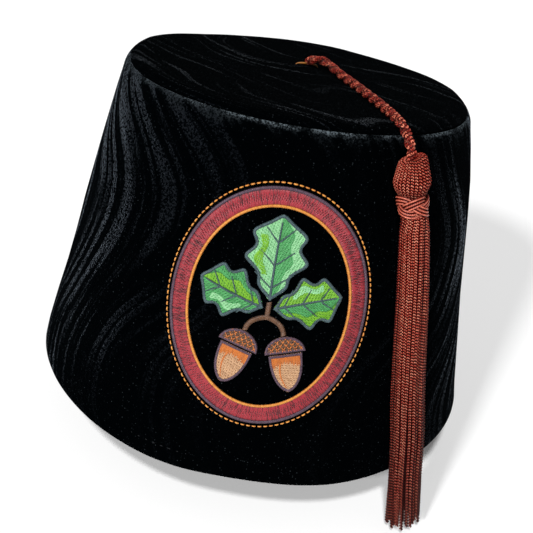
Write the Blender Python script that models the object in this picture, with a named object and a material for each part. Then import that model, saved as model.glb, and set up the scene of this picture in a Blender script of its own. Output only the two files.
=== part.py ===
"""Velvet fez with a corded tassel and an embroidered oak emblem.

Metres, +Z up. The origin is the middle of the rim, where a head enters.
The front faces -Y and +X is the wearer's left, on the right as seen from the front.
"""
import math

import bmesh
import bpy
from mathutils import Matrix, Vector

MM = 0.001
GAP = 0.3 * MM  # clearance between pieces that touch

# Crown: a truncated cone with a rounded shoulder
RIM_RADIUS = 98.2 * MM
TOP_RADIUS = 71.9 * MM  # where the straight side would meet the flat top
HEIGHT = 135.0 * MM
SHOULDER_RADIUS = 7.5 * MM
WALL = 3.0 * MM
SEAM_ANGLE = math.radians(45)  # down the shoulder from the flat top
CROWN_SEGMENTS = 80

TAPER = math.atan2(RIM_RADIUS - TOP_RADIUS, HEIGHT)
SHOULDER_INSET = SHOULDER_RADIUS / math.tan((math.pi / 2 + TAPER) / 2)
SHOULDER_CENTRE = (TOP_RADIUS - SHOULDER_INSET, HEIGHT - SHOULDER_RADIUS)

# Cord
CORD_DIAMETER = 4.3 * MM
CORD_SPACING = 2.0 * CORD_DIAMETER
# across, towards the back, and the rise of the cord's middle above where it lies flat, mm
CORD_ON_TOP = [
    (2.2, 14.4, 0.0),
    (3.6, 13.0, 1.0),
    (5.4, 11.3, 1.8),
    (7.4, 9.4, 2.2),
    (9.6, 7.2, 2.0),
    (11.8, 4.6, 1.4),
    (13.9, 1.6, 0.7),
    (15.9, -2.0, 0.2),
    (17.8, -6.2, 0.0),
    (20.4, -12.3, 0.0),
    (23.0, -19.2, 0.0),
    (25.5, -26.0, 0.0),
    (28.0, -32.9, 0.0),
    (30.4, -39.4, 0.0),
    (32.3, -45.6, 0.0),
    (34.0, -51.7, 0.1),
]
# azimuth in degrees, radius and height in mm
CORD_OVER_SHOULDER = [
    (31.4, 70.9, 137.0),
    (31.6, 75.3, 134.5),
    (31.8, 78.3, 131.3),
]
TACK_THICKNESS = 0.9 * MM
TACK_ROUTE = [(-3.7, 15.4), (-0.6, 16.4), (2.9, 17.4), (6.3, 16.4)]  # across, towards the back, mm

# Tassel, hung along a straight line beside the crown
HEAD_AZIMUTH = math.radians(32.5)
HEAD_HEIGHT = 120.1 * MM
HEAD_OFFSET = 6.9 * MM  # middle of the head, out from the velvet
RIM_AZIMUTH = math.radians(41.5)
RIM_OFFSET = 5.9 * MM
HEAD_SIDES = 24
NECK_RADIUS = 4.1 * MM
NECK_END = 17.0 * MM
DIMPLE_DEPTH = 5.8 * MM  # floor of the hollow that the cord enters, above the head's middle
# distance down from the head's middle and radius, mm, from the hollow's floor to the neck
HEAD_PROFILE = [
    (-5.8, 2.5),
    (-7.1, 3.2),
    (-7.5, 4.1),
    (-6.7, 5.3),
    (-4.5, 6.2),
    (-1.2, 6.5),
    (2.2, 6.3),
    (4.9, 5.5),
    (6.6, 4.5),
]
KNOT_MIDDLE = 11.3 * MM
KNOT_HALF_HEIGHT = 3.3 * MM
KNOT_WAVE = 0.9 * MM
KNOT_BIGHTS = 4
KNOT_OUTER = 6.0 * MM
KNOT_ROUNDING = 0.8 * MM
KNOT_SEGMENTS = 48
SKIRT_START = 15.9 * MM
SKIRT_END = 146.0 * MM
SKIRT_TOP_HALF = (5.9 * MM, 4.3 * MM)  # across, and out from the hat
SKIRT_END_HALF = (7.7 * MM, 4.9 * MM)
CORE_ROWS = 6
CORE_SIDES = 16
CORE_SHORTER = 12.0 * MM  # how far the core ends above the locks
LOCK_COUNT = 12
LOCK_ROWS = 9
LOCK_UNEVEN = 4.0 * MM
LOCK_SIDES = 10
LOCK_RADIUS = (1.8 * MM, 2.3 * MM)  # at the neck, and at the free end
LOCK_END_SHAPE = 0.6  # how far a lock draws in at its ends
LOCK_SWAY = 0.4 * MM

# Emblem, drawn flat and wrapped round the cone
EMBLEM_AZIMUTH = math.radians(1.8)
EMBLEM_HEIGHT = 68.2 * MM
PATCH_THICKNESS = 0.9 * MM
WRAP_STEP = 7.0 * MM  # widest flat facet laid round the cone
RING_HALF = (37.0 * MM, 45.0 * MM)
RING_BAND = 7.6 * MM
RING_SEGMENTS = 64

BLACK_VELVET = ((0.004, 0.004, 0.005), 0.9)
RUST = ((0.33, 0.07, 0.035), 0.55)
GOLD_BROWN = ((0.36, 0.16, 0.03), 0.5)
MAROON = ((0.27, 0.03, 0.04), 0.5)
LIGHT_GREEN = ((0.25, 0.62, 0.28), 0.5)
MID_GREEN = ((0.06, 0.30, 0.09), 0.5)
YELLOW_GREEN = ((0.22, 0.45, 0.03), 0.5)
TAN = ((0.60, 0.32, 0.17), 0.5)
BROWN = ((0.12, 0.05, 0.02), 0.5)

# name, foot of the blade, direction of growth, length, width, colour
LEAVES = [
    ("emblem_leaf_top", (0.0, 3.3), 90, 32.0, 24.0, LIGHT_GREEN),
    ("emblem_leaf_left", (-1.8, 0.4), 163, 25.5, 21.0, MID_GREEN),
    ("emblem_leaf_right", (1.8, 0.4), 17, 25.5, 21.0, YELLOW_GREEN),
]
# name ending, middle of the cap's underside, direction the acorn points
ACORNS = [
    ("left", (-8.8, -15.6), 255),
    ("right", (8.8, -15.6), 285),
]
ACORN_LENGTH = 15.5 * MM
ACORN_HALF_WIDTH = 6.2 * MM
CAP_HALF_WIDTH = 7.5 * MM
CAP_HEIGHT = 6.4 * MM
STEM_HALF_WIDTH = 1.0 * MM
STEM_TOP = 2.6 * MM
STEM_ARM = [(0.0, -3.0), (6.4, -4.4), (7.0, -8.9)]  # start, bend and end of the right arm, mm


def crown_radius(height):
    """Outer radius of the straight side at a height."""
    return RIM_RADIUS - height * math.tan(TAPER)


def beside_crown(azimuth, height, lift):
    """The point a distance out from the side, square to the velvet."""
    radius = crown_radius(height) + lift * math.cos(TAPER)
    return Vector((radius * math.sin(azimuth), -radius * math.cos(azimuth), height + lift * math.sin(TAPER)))


def wrap_on_crown(across, up, lift):
    """Roll the flat drawing round the cone without stretching it."""
    slant = crown_radius(EMBLEM_HEIGHT) / math.sin(TAPER)
    reach = math.hypot(across, slant - up)
    azimuth = EMBLEM_AZIMUTH + math.atan2(across, slant - up) / math.sin(TAPER)
    height = EMBLEM_HEIGHT + (slant - reach) * math.cos(TAPER)
    return beside_crown(azimuth, height, lift)


def make_material(name, look):
    colour, roughness = look
    material = bpy.data.materials.new(name)
    material.use_nodes = True
    shader = material.node_tree.nodes["Principled BSDF"]
    shader.inputs["Base Color"].default_value = (*colour, 1.0)
    shader.inputs["Roughness"].default_value = roughness
    shader.inputs["Metallic"].default_value = 0.0
    return material


def add_object(name, bm, look, sharp_angle=40):
    bmesh.ops.recalc_face_normals(bm, faces=bm.faces)
    mesh = bpy.data.meshes.new(name)
    bm.to_mesh(mesh)
    bm.free()
    mesh.shade_smooth()
    mesh.set_sharp_from_angle(angle=math.radians(sharp_angle))
    mesh.materials.append(make_material(name, look))
    obj = bpy.data.objects.new(name, mesh)
    bpy.context.collection.objects.link(obj)
    return obj


def turn_profile(bm, profile, segments):
    """Turn (radius, height) points about Z, skinning each to the next, and return the turned copies."""
    rings = []
    for step in range(segments):
        turn = 2 * math.pi * step / segments
        rings.append([bm.verts.new((r * math.cos(turn), r * math.sin(turn), z)) for r, z in profile])
    for ring, following in zip(rings, rings[1:] + rings[:1]):
        for i in range(len(profile) - 1):
            bm.faces.new((ring[i], ring[i + 1], following[i + 1], following[i]))
    return rings


def skin(bm, sections, hoop=False):
    """Join each closed section to the next, and the last to the first in a hoop."""
    loops = [[bm.verts.new(point) for point in section] for section in sections]
    pairs = list(zip(loops, loops[1:]))
    if hoop:
        pairs.append((loops[-1], loops[0]))
    for loop, following in pairs:
        for i in range(len(loop)):
            j = (i + 1) % len(loop)
            bm.faces.new((loop[i], loop[j], following[j], following[i]))
    return loops


def capped_loft(sections):
    """A solid skinned through the sections, closed at both ends."""
    bm = bmesh.new()
    loops = skin(bm, sections)
    bm.faces.new(loops[0])
    bm.faces.new(loops[-1])
    return bm


def arc(centre, radius, start, end, steps):
    """Points of an arc in the profile plane, the angle taken down from straight up."""
    angles = [start + (end - start) * i / steps for i in range(steps + 1)]
    return [(centre[0] + radius * math.sin(a), centre[1] + radius * math.cos(a)) for a in angles]


def build_crown():
    side_angle = math.pi / 2 - TAPER
    inner_radius = SHOULDER_RADIUS - WALL
    half_gap = GAP / (2 * (SHOULDER_RADIUS - WALL / 2))

    upper = SEAM_ANGLE + half_gap
    hem_middle = (RIM_RADIUS - WALL / 2 / math.cos(TAPER), WALL / 2)
    hem = arc(hem_middle, WALL / 2, side_angle + math.pi, side_angle, 6)
    outer = arc(SHOULDER_CENTRE, SHOULDER_RADIUS, side_angle, upper, 5)
    inner = arc(SHOULDER_CENTRE, inner_radius, upper, side_angle, 4)
    side = bmesh.new()
    turn_profile(side, outer + inner + hem + outer[:1], CROWN_SEGMENTS)
    bmesh.ops.remove_doubles(side, verts=side.verts, dist=MM / 1000)
    add_object("crown_side", side, BLACK_VELVET)

    lower = SEAM_ANGLE - half_gap
    outer = arc(SHOULDER_CENTRE, SHOULDER_RADIUS, 0, lower, 5)
    inner = arc(SHOULDER_CENTRE, inner_radius, lower, 0, 3)
    top = bmesh.new()
    rings = turn_profile(top, outer + inner, CROWN_SEGMENTS)
    top.faces.new([ring[0] for ring in rings])
    top.faces.new([ring[-1] for ring in rings])
    add_object("crown_top", top, BLACK_VELVET)


def tassel_axis():
    """The head's middle, and the directions along, across and out from the hat."""
    head = beside_crown(HEAD_AZIMUTH, HEAD_HEIGHT, HEAD_OFFSET)
    rim = beside_crown(RIM_AZIMUTH, 5.2 * MM, RIM_OFFSET)
    along = (rim - head).normalized()
    outward = Vector((math.sin(HEAD_AZIMUTH), -math.cos(HEAD_AZIMUTH), 0))
    across = outward.cross(along).normalized()
    return head, along, across, along.cross(across).normalized()


def on_tassel(down, sideways, out):
    head, along, across, outward = tassel_axis()
    return head + along * down + across * sideways + outward * out


def smooth_route(points, spacing):
    """Points at an even spacing along a Catmull-Rom curve through the route."""
    padded = [points[0] * 2 - points[1], *points, points[-1] * 2 - points[-2]]
    fine = []
    for a, b, c, d in zip(padded, padded[1:], padded[2:], padded[3:]):
        for i in range(20):
            t = i / 20
            fine.append(0.5 * (2 * b + (c - a) * t + (2 * a - 5 * b + 4 * c - d) * t**2
                               + (3 * b - a - 3 * c + d) * t**3))
    fine.append(points[-1])
    lengths = [0.0]
    for p, q in zip(fine, fine[1:]):
        lengths.append(lengths[-1] + (q - p).length)
    count = max(2, round(lengths[-1] / spacing))
    picked, k = [], 0
    for i in range(count + 1):
        target = lengths[-1] * i / count
        while k < len(fine) - 2 and lengths[k + 1] < target:
            k += 1
        part = (target - lengths[k]) / (lengths[k + 1] - lengths[k])
        picked.append(fine[k].lerp(fine[k + 1], min(1.0, part)))
    return picked


def cord_route():
    """From its root on the top, in a low arch, over the shoulder and into the tassel's head."""
    lying = HEIGHT + CORD_DIAMETER / 2 + GAP
    route = [Vector((x * MM, y * MM, lying + rise * MM)) for x, y, rise in CORD_ON_TOP]
    for degrees, radius, height in CORD_OVER_SHOULDER:
        turn = math.radians(degrees)
        route.append(Vector((radius * MM * math.sin(turn), -radius * MM * math.cos(turn), height * MM)))
    route.append(on_tassel(-DIMPLE_DEPTH - CORD_DIAMETER / 3, 0, 0))
    return route


def build_tube(name, points, diameter, look, resolution=2):
    curve = bpy.data.curves.new(name, "CURVE")
    curve.dimensions = "3D"
    curve.bevel_depth = diameter / 2
    curve.bevel_resolution = resolution
    curve.use_fill_caps = True
    spline = curve.splines.new("POLY")
    spline.points.add(len(points) - 1)
    for target, point in zip(spline.points, points):
        target.co = (*point, 1.0)
    curve.materials.append(make_material(name, look))
    obj = bpy.data.objects.new(name, curve)
    bpy.context.collection.objects.link(obj)


def build_cord():
    build_tube("cord", smooth_route(cord_route(), CORD_SPACING), CORD_DIAMETER, RUST, 3)


def build_tack():
    """The thread that ties down the cord's root, laid on the velvet just behind it."""
    height = HEIGHT + TACK_THICKNESS / 2 + GAP
    route = [Vector((x * MM, y * MM, height)) for x, y in TACK_ROUTE]
    build_tube("cord_tack", smooth_route(route, 2 * TACK_THICKNESS), TACK_THICKNESS, GOLD_BROWN)


def ellipse_ring(down, half_across, half_out, sides, middle=(0.0, 0.0)):
    ring = []
    for i in range(sides):
        turn = 2 * math.pi * i / sides
        sideways = middle[0] + half_across * math.cos(turn)
        out = middle[1] + half_out * math.sin(turn)
        ring.append(on_tassel(down, sideways, out))
    return ring


def tassel_head_rings():
    """The ball, from the hollow in its top down to the end of the neck."""
    rows = [(down * MM, radius * MM) for down, radius in HEAD_PROFILE]
    rows += [(KNOT_MIDDLE - KNOT_HALF_HEIGHT - KNOT_WAVE - GAP, NECK_RADIUS), (NECK_END, NECK_RADIUS)]
    return [ellipse_ring(down, radius, radius, HEAD_SIDES) for down, radius in rows]


def skirt_half(down):
    part = (down - SKIRT_START) / (SKIRT_END - SKIRT_START)
    widen = math.sin(part * math.pi / 2) ** 0.7
    return [top + (end - top) * widen for top, end in zip(SKIRT_TOP_HALF, SKIRT_END_HALF)]


def lock_rings(index):
    """One lock of the skirt, from the neck to its own uneven end."""
    turn = 2 * math.pi * (index + 0.5) / LOCK_COUNT
    end = SKIRT_END + LOCK_UNEVEN * math.sin(index * 2.4 + 0.6)
    rings = []
    for row in range(LOCK_ROWS + 1):
        part = row / LOCK_ROWS
        down = SKIRT_START + (end - SKIRT_START) * part
        across, out = skirt_half(min(down, SKIRT_END))
        lock = LOCK_RADIUS[0] + (LOCK_RADIUS[1] - LOCK_RADIUS[0]) * part
        sway = LOCK_SWAY * part * math.sin(part * 5.0 + index * 1.7)
        middle = ((across - lock) * math.cos(turn) + sway, (out - lock) * math.sin(turn))
        shape = LOCK_END_SHAPE if row in (0, LOCK_ROWS) else 1.0
        rings.append(ellipse_ring(down, lock * shape, lock * shape, LOCK_SIDES, middle))
    return rings


def build_tassel():
    """Head, core and locks, joined into one solid."""
    tassel = add_object("tassel", capped_loft(tassel_head_rings()), RUST)
    core = []
    for row in range(CORE_ROWS + 1):
        down = SKIRT_START + (SKIRT_END - CORE_SHORTER - SKIRT_START) * row / CORE_ROWS
        across, out = skirt_half(down)
        core.append(ellipse_ring(down, across - LOCK_RADIUS[0], out - LOCK_RADIUS[0] * 0.8, CORE_SIDES))
    solids = [("core", core)] + [(f"lock_{i}", lock_rings(i)) for i in range(LOCK_COUNT)]
    for name, rings in solids:
        shape = add_object(f"tassel_{name}_shape", capped_loft(rings), RUST)
        shape.hide_render = True
        shape.display_type = "WIRE"
        join = tassel.modifiers.new(name, "BOOLEAN")
        join.operation = "UNION"
        join.solver = "EXACT"
        join.object = shape


def build_knot():
    """A band round the neck whose edges rise and fall with the weave."""
    inner = NECK_RADIUS + GAP
    rim = KNOT_OUTER - KNOT_ROUNDING
    sections = []
    for step in range(KNOT_SEGMENTS):
        turn = 2 * math.pi * step / KNOT_SEGMENTS
        wave = KNOT_WAVE * math.cos(KNOT_BIGHTS * turn)
        top = KNOT_MIDDLE - KNOT_HALF_HEIGHT - wave
        foot = KNOT_MIDDLE + KNOT_HALF_HEIGHT - wave
        profile = [(inner, top), (rim, top), (KNOT_OUTER, top + KNOT_ROUNDING),
                   (KNOT_OUTER, foot - KNOT_ROUNDING), (rim, foot), (inner, foot)]
        sections.append([on_tassel(down, r * math.cos(turn), r * math.sin(turn)) for r, down in profile])
    bm = bmesh.new()
    skin(bm, sections, hoop=True)
    add_object("tassel_knot", bm, RUST)


def build_patch(name, outline, look):
    """Raise a flat outline into a thin pad and wrap it round the crown."""
    bm = bmesh.new()
    bm.faces.new([bm.verts.new((x, y, 0)) for x, y in outline])
    left = min(x for x, y in outline)
    right = max(x for x, y in outline)
    cuts = int((right - left) / WRAP_STEP)
    for i in range(cuts):
        x = left + (right - left) * (i + 1) / (cuts + 1)
        bmesh.ops.bisect_plane(bm, geom=bm.verts[:] + bm.edges[:] + bm.faces[:], dist=1e-7,
                               plane_co=(x, 0, 0), plane_no=(1, 0, 0))
    bmesh.ops.triangulate(bm, faces=bm.faces)
    grown = bmesh.ops.extrude_face_region(bm, geom=bm.faces[:])
    for vert in [item for item in grown["geom"] if isinstance(item, bmesh.types.BMVert)]:
        vert.co.z = PATCH_THICKNESS
    for vert in bm.verts:
        vert.co = wrap_on_crown(vert.co.x, vert.co.y, GAP + vert.co.z)
    add_object(name, bm, look)


def turned(points, degrees, foot):
    """Turn a shape that grows along +X to a direction and set its foot down."""
    spin = Matrix.Rotation(math.radians(degrees), 2)
    return [tuple(spin @ Vector(p) + Vector(foot) * MM) for p in points]


def oak_leaf(length, width, steps=22):
    """A lobed blade along +X, from the stalk at the origin to the tip."""
    upper = []
    for i in range(1, steps):
        t = i / steps
        body = math.sin(math.pi * t**1.25) ** 0.7
        lobes = 1.0 - 0.30 * (0.5 + 0.5 * math.cos(2 * math.pi * (3.0 * t + 0.12)))
        upper.append((length * t, width / 2 * body * lobes))
    return [(0.0, 0.0)] + [(x, -y) for x, y in upper] + [(length, 0.0)] + upper[::-1]


def acorn_nut(steps=9):
    """The nut along +X, from its flat end below the cap to the tip."""
    start = 2 * GAP
    upper = []
    for i in range(steps):
        t = i / steps
        upper.append((start + (ACORN_LENGTH - start) * t, ACORN_HALF_WIDTH * (1 - t**2.6) ** 0.62))
    return [(x, -y) for x, y in upper] + [(ACORN_LENGTH, 0.0)] + upper[::-1]


def acorn_cap(steps=10):
    """Half an ellipse behind the nut, flat where the two meet."""
    turns = [math.pi / 2 + math.pi * i / steps for i in range(steps + 1)]
    return [(CAP_HEIGHT * math.cos(turn), CAP_HALF_WIDTH * math.sin(turn)) for turn in turns]


def build_ring():
    inner = [half - RING_BAND for half in RING_HALF]
    raised = GAP + PATCH_THICKNESS
    corners = [(inner, GAP), (RING_HALF, GAP), (RING_HALF, raised), (inner, raised)]
    sections = []
    for i in range(RING_SEGMENTS):
        turn = 2 * math.pi * i / RING_SEGMENTS
        section = []
        for (across, up), lift in corners:
            section.append(wrap_on_crown(across * math.cos(turn), up * math.sin(turn), lift))
        sections.append(section)
    bm = bmesh.new()
    skin(bm, sections, hoop=True)
    add_object("emblem_ring", bm, MAROON)


def stem_outline(steps=6):
    """The stalk: a short post that parts into two arms, each ending at an acorn's cap."""
    half = STEM_HALF_WIDTH
    start, bend, end = (Vector(p) * MM for p in STEM_ARM)
    upper, lower = [], []
    for i in range(steps + 1):
        t = i / steps
        middle = start.lerp(bend, t).lerp(bend.lerp(end, t), t)
        heading = (bend.lerp(end, t) - start.lerp(bend, t)).normalized()
        side = Vector((-heading.y, heading.x)) * half
        upper.append(middle + side)
        lower.append(middle - side)
    right = [(half, STEM_TOP)] + [tuple(p) for p in upper if p.x > half]
    right += [tuple(p) for p in reversed(lower) if p.x > half]
    left = [(-x, y) for x, y in reversed(right)]
    return right + [(0.0, start.y - 1.8 * half)] + left


def build_emblem():
    build_ring()
    for name, foot, direction, length, width, look in LEAVES:
        build_patch(name, turned(oak_leaf(length * MM, width * MM), direction, foot), look)
    build_patch("emblem_stem", stem_outline(), BROWN)
    for side, foot, direction in ACORNS:
        build_patch(f"emblem_acorn_{side}", turned(acorn_nut(), direction, foot), TAN)
        build_patch(f"emblem_acorn_cap_{side}", turned(acorn_cap(), direction, foot), BROWN)


def main():
    for obj in list(bpy.data.objects):
        bpy.data.objects.remove(obj, do_unlink=True)
    build_crown()
    build_cord()
    build_tack()
    build_tassel()
    build_knot()
    build_emblem()


main()
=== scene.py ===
from math import atan2, cos, dist, hypot, pi, radians, remainder, sin, sqrt, tan

import bmesh
import bpy
import numpy as np
from mathutils import Matrix, Vector


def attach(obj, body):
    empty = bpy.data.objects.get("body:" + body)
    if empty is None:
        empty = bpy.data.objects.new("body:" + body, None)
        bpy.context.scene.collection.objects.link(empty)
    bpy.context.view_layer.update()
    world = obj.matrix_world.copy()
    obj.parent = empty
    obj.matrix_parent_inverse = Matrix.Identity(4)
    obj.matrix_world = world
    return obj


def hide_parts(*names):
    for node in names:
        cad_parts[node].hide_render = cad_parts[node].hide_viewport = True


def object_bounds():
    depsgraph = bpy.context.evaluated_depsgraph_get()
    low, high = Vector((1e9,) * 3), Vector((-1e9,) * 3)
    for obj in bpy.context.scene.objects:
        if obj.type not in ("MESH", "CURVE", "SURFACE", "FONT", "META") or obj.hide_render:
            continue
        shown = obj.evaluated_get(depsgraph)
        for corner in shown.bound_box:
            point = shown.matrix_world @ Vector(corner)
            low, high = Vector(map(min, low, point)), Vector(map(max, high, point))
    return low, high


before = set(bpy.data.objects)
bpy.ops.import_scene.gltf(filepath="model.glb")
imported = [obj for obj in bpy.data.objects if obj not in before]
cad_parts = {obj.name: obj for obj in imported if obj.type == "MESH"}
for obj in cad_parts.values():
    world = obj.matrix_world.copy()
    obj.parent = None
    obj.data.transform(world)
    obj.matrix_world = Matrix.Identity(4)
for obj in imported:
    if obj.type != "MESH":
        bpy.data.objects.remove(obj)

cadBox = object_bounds()
mm = 0.001
circle = 2 * pi


def placed(name, data):
    thing = bpy.data.objects.new(name, data)
    bpy.context.scene.collection.objects.link(thing)
    return thing


def held(value, low=0.0, high=1.0):
    return min(max(value, low), high)


# ---- camera, at the photograph's viewing angle

view = {
    "place": (-0.000568, -0.34201, 0.20961),
    "right": (0.98479718, 0.07583633, 0.15627978),
    "up": (-0.17370814, 0.42993613, 0.8859912),
    "lens": 55.0,
    "sensor": 36.0,
}


def addCamera():
    lens = bpy.data.cameras.new("camera")
    lens.lens = view["lens"]
    lens.sensor_width = view["sensor"]
    lens.sensor_fit = "HORIZONTAL"
    lens.clip_start = 0.01
    camera = placed("camera", lens)
    right, up = Vector(view["right"]), Vector(view["up"])
    turn = Matrix((right, up, right.cross(up))).transposed().to_4x4()
    camera.matrix_world = Matrix.Translation(view["place"]) @ turn
    bpy.context.scene.camera = camera


addCamera()
print("camera set")


# ---- the crown's cone and the tassel's axis, as in the part

crown = {
    "rimRadius": 98.2 * mm,
    "topRadius": 71.9 * mm,
    "height": 135.0 * mm,
    "shoulder": 7.5 * mm,
    "wall": 3.0 * mm,
    "seam": radians(45),  # how far down the shoulder it runs, from the flat top
    "segments": 288,
    "wobble": 0.22 * mm,
    "hemHeight": 7.0 * mm,
    "hemStitch": 2.5 * mm,
    "hemGap": 0.9 * mm,
    # how the worn shape leaves the true cone: azimuth in degrees or height in mm, then mm
    "shoulderRise": [
        (-180, 0.8), (-172, 0.55), (-165, 0.3), (-152, 0.0), (-135, 0.0), (-128, 0.3), (-120, 0.8),
        (-112, 1.2), (-104, 1.5), (-95, 1.1), (-85, 0.4), (-75, 0.0), (88, 0.0), (98, 0.4), (106, 0.9),
        (122, 0.8), (135, 0.55), (150, 0.5), (158, 0.6), (165, 0.9), (170, 1.0), (180, 0.8)],
    "leftBulge": [
        (0, 0.2), (8, 0.6), (22, 0.5), (38, 0.0), (52, 0.0), (70, 0.5), (98, 0.6), (120, 0.4), (128, 0.0)],
    "rightBulge": [
        (0, 0.4), (10, 0.0), (55, 0.0), (78, 0.5), (92, 0.8), (106, 0.8), (114, 0.3), (120, 0.0),
        (128, -0.7), (132, -0.7)],
    "rimDip": [
        (-60, 0.0), (-36, 1.2), (-20, 2.0), (-13, 1.8), (-8, 1.2), (-3, 0.6), (3, 0.4), (9, 0.7),
        (15, 1.4), (22, 2.0), (28, 1.9), (36, 1.5), (50, 0.6), (70, 0.0)],
}
taper = atan2(crown["rimRadius"] - crown["topRadius"], crown["height"])


def crownRadius(height):
    return crown["rimRadius"] - height * tan(taper)


def besideCrown(azimuth, height, lift):
    radius = crownRadius(height) + lift * cos(taper)
    return Vector((radius * sin(azimuth), -radius * cos(azimuth), height + lift * sin(taper)))


tassel = {
    "headAzimuth": radians(32.5),
    "headHeight": 120.1 * mm,
    "headOffset": 6.9 * mm,
    "rimAzimuth": radians(41.5),
    "rimHeight": 5.2 * mm,
    "rimOffset": 5.9 * mm,
    "face": radians(127.4),  # the side that the photograph shows, round the axis
    # mm down the axis, and how far the tassel leans to the side there
    "lean": [(-8, 0.4), (0, 0.3), (5, 0.1), (9, 0.5), (12, 0.6), (16, 1.4), (28, 1.4), (42, 1.2), (66, 0.6),
             (90, 0.2), (105, 0.2), (125, -0.4), (150, -0.6)],
}


def tasselAxis():
    head = besideCrown(tassel["headAzimuth"], tassel["headHeight"], tassel["headOffset"])
    rim = besideCrown(tassel["rimAzimuth"], tassel["rimHeight"], tassel["rimOffset"])
    along = (rim - head).normalized()
    outward = Vector((sin(tassel["headAzimuth"]), -cos(tassel["headAzimuth"]), 0))
    across = outward.cross(along).normalized()
    return head, along, across, along.cross(across).normalized()


headMiddle, tasselDown, tasselAcross, tasselOut = (np.array(v) for v in tasselAxis())


def readTable(table, value):
    # the second column where the first is value
    return np.interp(value, *zip(*table))


def onTassel(down, sideways, out):
    # a point from mm down the axis, to the side and out from the hat
    return headMiddle + (tasselDown * down + tasselAcross * sideways + tasselOut * out) * mm


def hung(down, sideways, out):
    # the same, on the tassel as it leans
    lean = readTable(tassel["lean"], down)
    return onTassel(down, sideways + lean * sin(tassel["face"]), out - lean * cos(tassel["face"]))


# ---- node graphs

class Wire:
    # a socket that is added, multiplied and compared like a number
    def __init__(self, graph, socket):
        self.graph, self.socket = graph, socket

    def maths(self, operation, *values):
        return self.graph.add("ShaderNodeMath", {"operation": operation}, dict(enumerate(values)))

    def sine(self):
        return self.maths("SINE", self)

    def cosine(self):
        return self.maths("COSINE", self)

    def size(self):
        return self.maths("ABSOLUTE", self)

    def over(self, low, high):
        # 0 below low and 1 above high, eased between
        settings = {"interpolation_type": "SMOOTHSTEP"}
        return self.graph.add("ShaderNodeMapRange", settings, {0: self, 1: low, 2: high})


def giveSign(sign, operation):
    # a wire can stand on either side of the sign
    setattr(Wire, f"__{sign}__", lambda wire, other: wire.maths(operation, wire, other))
    setattr(Wire, f"__r{sign}__", lambda wire, other: wire.maths(operation, other, wire))


for sign, operation in (("add", "ADD"), ("sub", "SUBTRACT"), ("mul", "MULTIPLY"), ("truediv", "DIVIDE"),
                        ("mod", "FLOORED_MODULO"), ("pow", "POWER")):
    giveSign(sign, operation)


class Graph:
    def __init__(self, tree):
        self.tree = tree

    def add(self, kind, settings=None, sockets=None, out=0):
        # settings first, then values or links; out names the output, or several
        node = self.tree.nodes.new(kind)
        for name, value in (settings or {}).items():
            setattr(node, name, value)
        for name, value in (sockets or {}).items():
            if isinstance(value, Wire):
                self.tree.links.new(value.socket, node.inputs[name])
            else:
                node.inputs[name].default_value = value
        if isinstance(out, tuple):
            return [Wire(self, node.outputs[name]) for name in out]
        return None if out is None else Wire(self, node.outputs[out])

    def blend(self, factor, low, high):
        return self.add("ShaderNodeMix", {"data_type": "RGBA"}, {0: factor, 6: low, 7: high}, 2)

    def noise(self, place, scale, detail=2.0, roughness=0.5):
        sockets = {"Vector": place, "Scale": scale, "Detail": detail, "Roughness": roughness}
        return self.add("ShaderNodeTexNoise", {}, sockets)

    def joined(self, x, y, z=0.0):
        return self.add("ShaderNodeCombineXYZ", {}, {0: x, 1: y, 2: z})

    def parted(self, vector):
        return self.add("ShaderNodeSeparateXYZ", {}, {0: vector}, (0, 1, 2))

    def uv(self, name):
        return self.parted(self.add("ShaderNodeUVMap", {"uv_map": name}))[:2]

    def bump(self, strength, distance, height):
        return self.add("ShaderNodeBump", {}, {"Strength": strength, "Distance": distance, "Height": height})

    def named(self, name, kind="FLOAT"):
        return self.add("GeometryNodeInputNamedAttribute", {"data_type": kind}, {"Name": name})

    def stored(self, geometry, name, value, kind, domain):
        return self.add("GeometryNodeStoreNamedAttribute", {"data_type": kind, "domain": domain},
                        {"Geometry": geometry, "Name": name, "Value": value})


def paint(red, green, blue):
    # a screen colour from 0 to 255, under lamps strong enough to bleach the floor
    def light(value):
        value /= 255
        return 0.72 * (value / 12.92 if value <= 0.04045 else ((value + 0.055) / 1.055) ** 2.4)
    return light(red), light(green), light(blue), 1.0


def newMaterial(name):
    material = bpy.data.materials.new(name)
    material.use_nodes = True
    material.node_tree.nodes.clear()
    return material, Graph(material.node_tree)


def closeMaterial(material, graph, surface, look):
    # surface is a shader, or the values of a plain one
    if isinstance(surface, dict):
        surface = graph.add("ShaderNodeBsdfPrincipled", {}, surface)
    graph.add("ShaderNodeOutputMaterial", {}, {"Surface": surface}, None)
    material.diffuse_color = look
    return material


# ---- finishes

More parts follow.
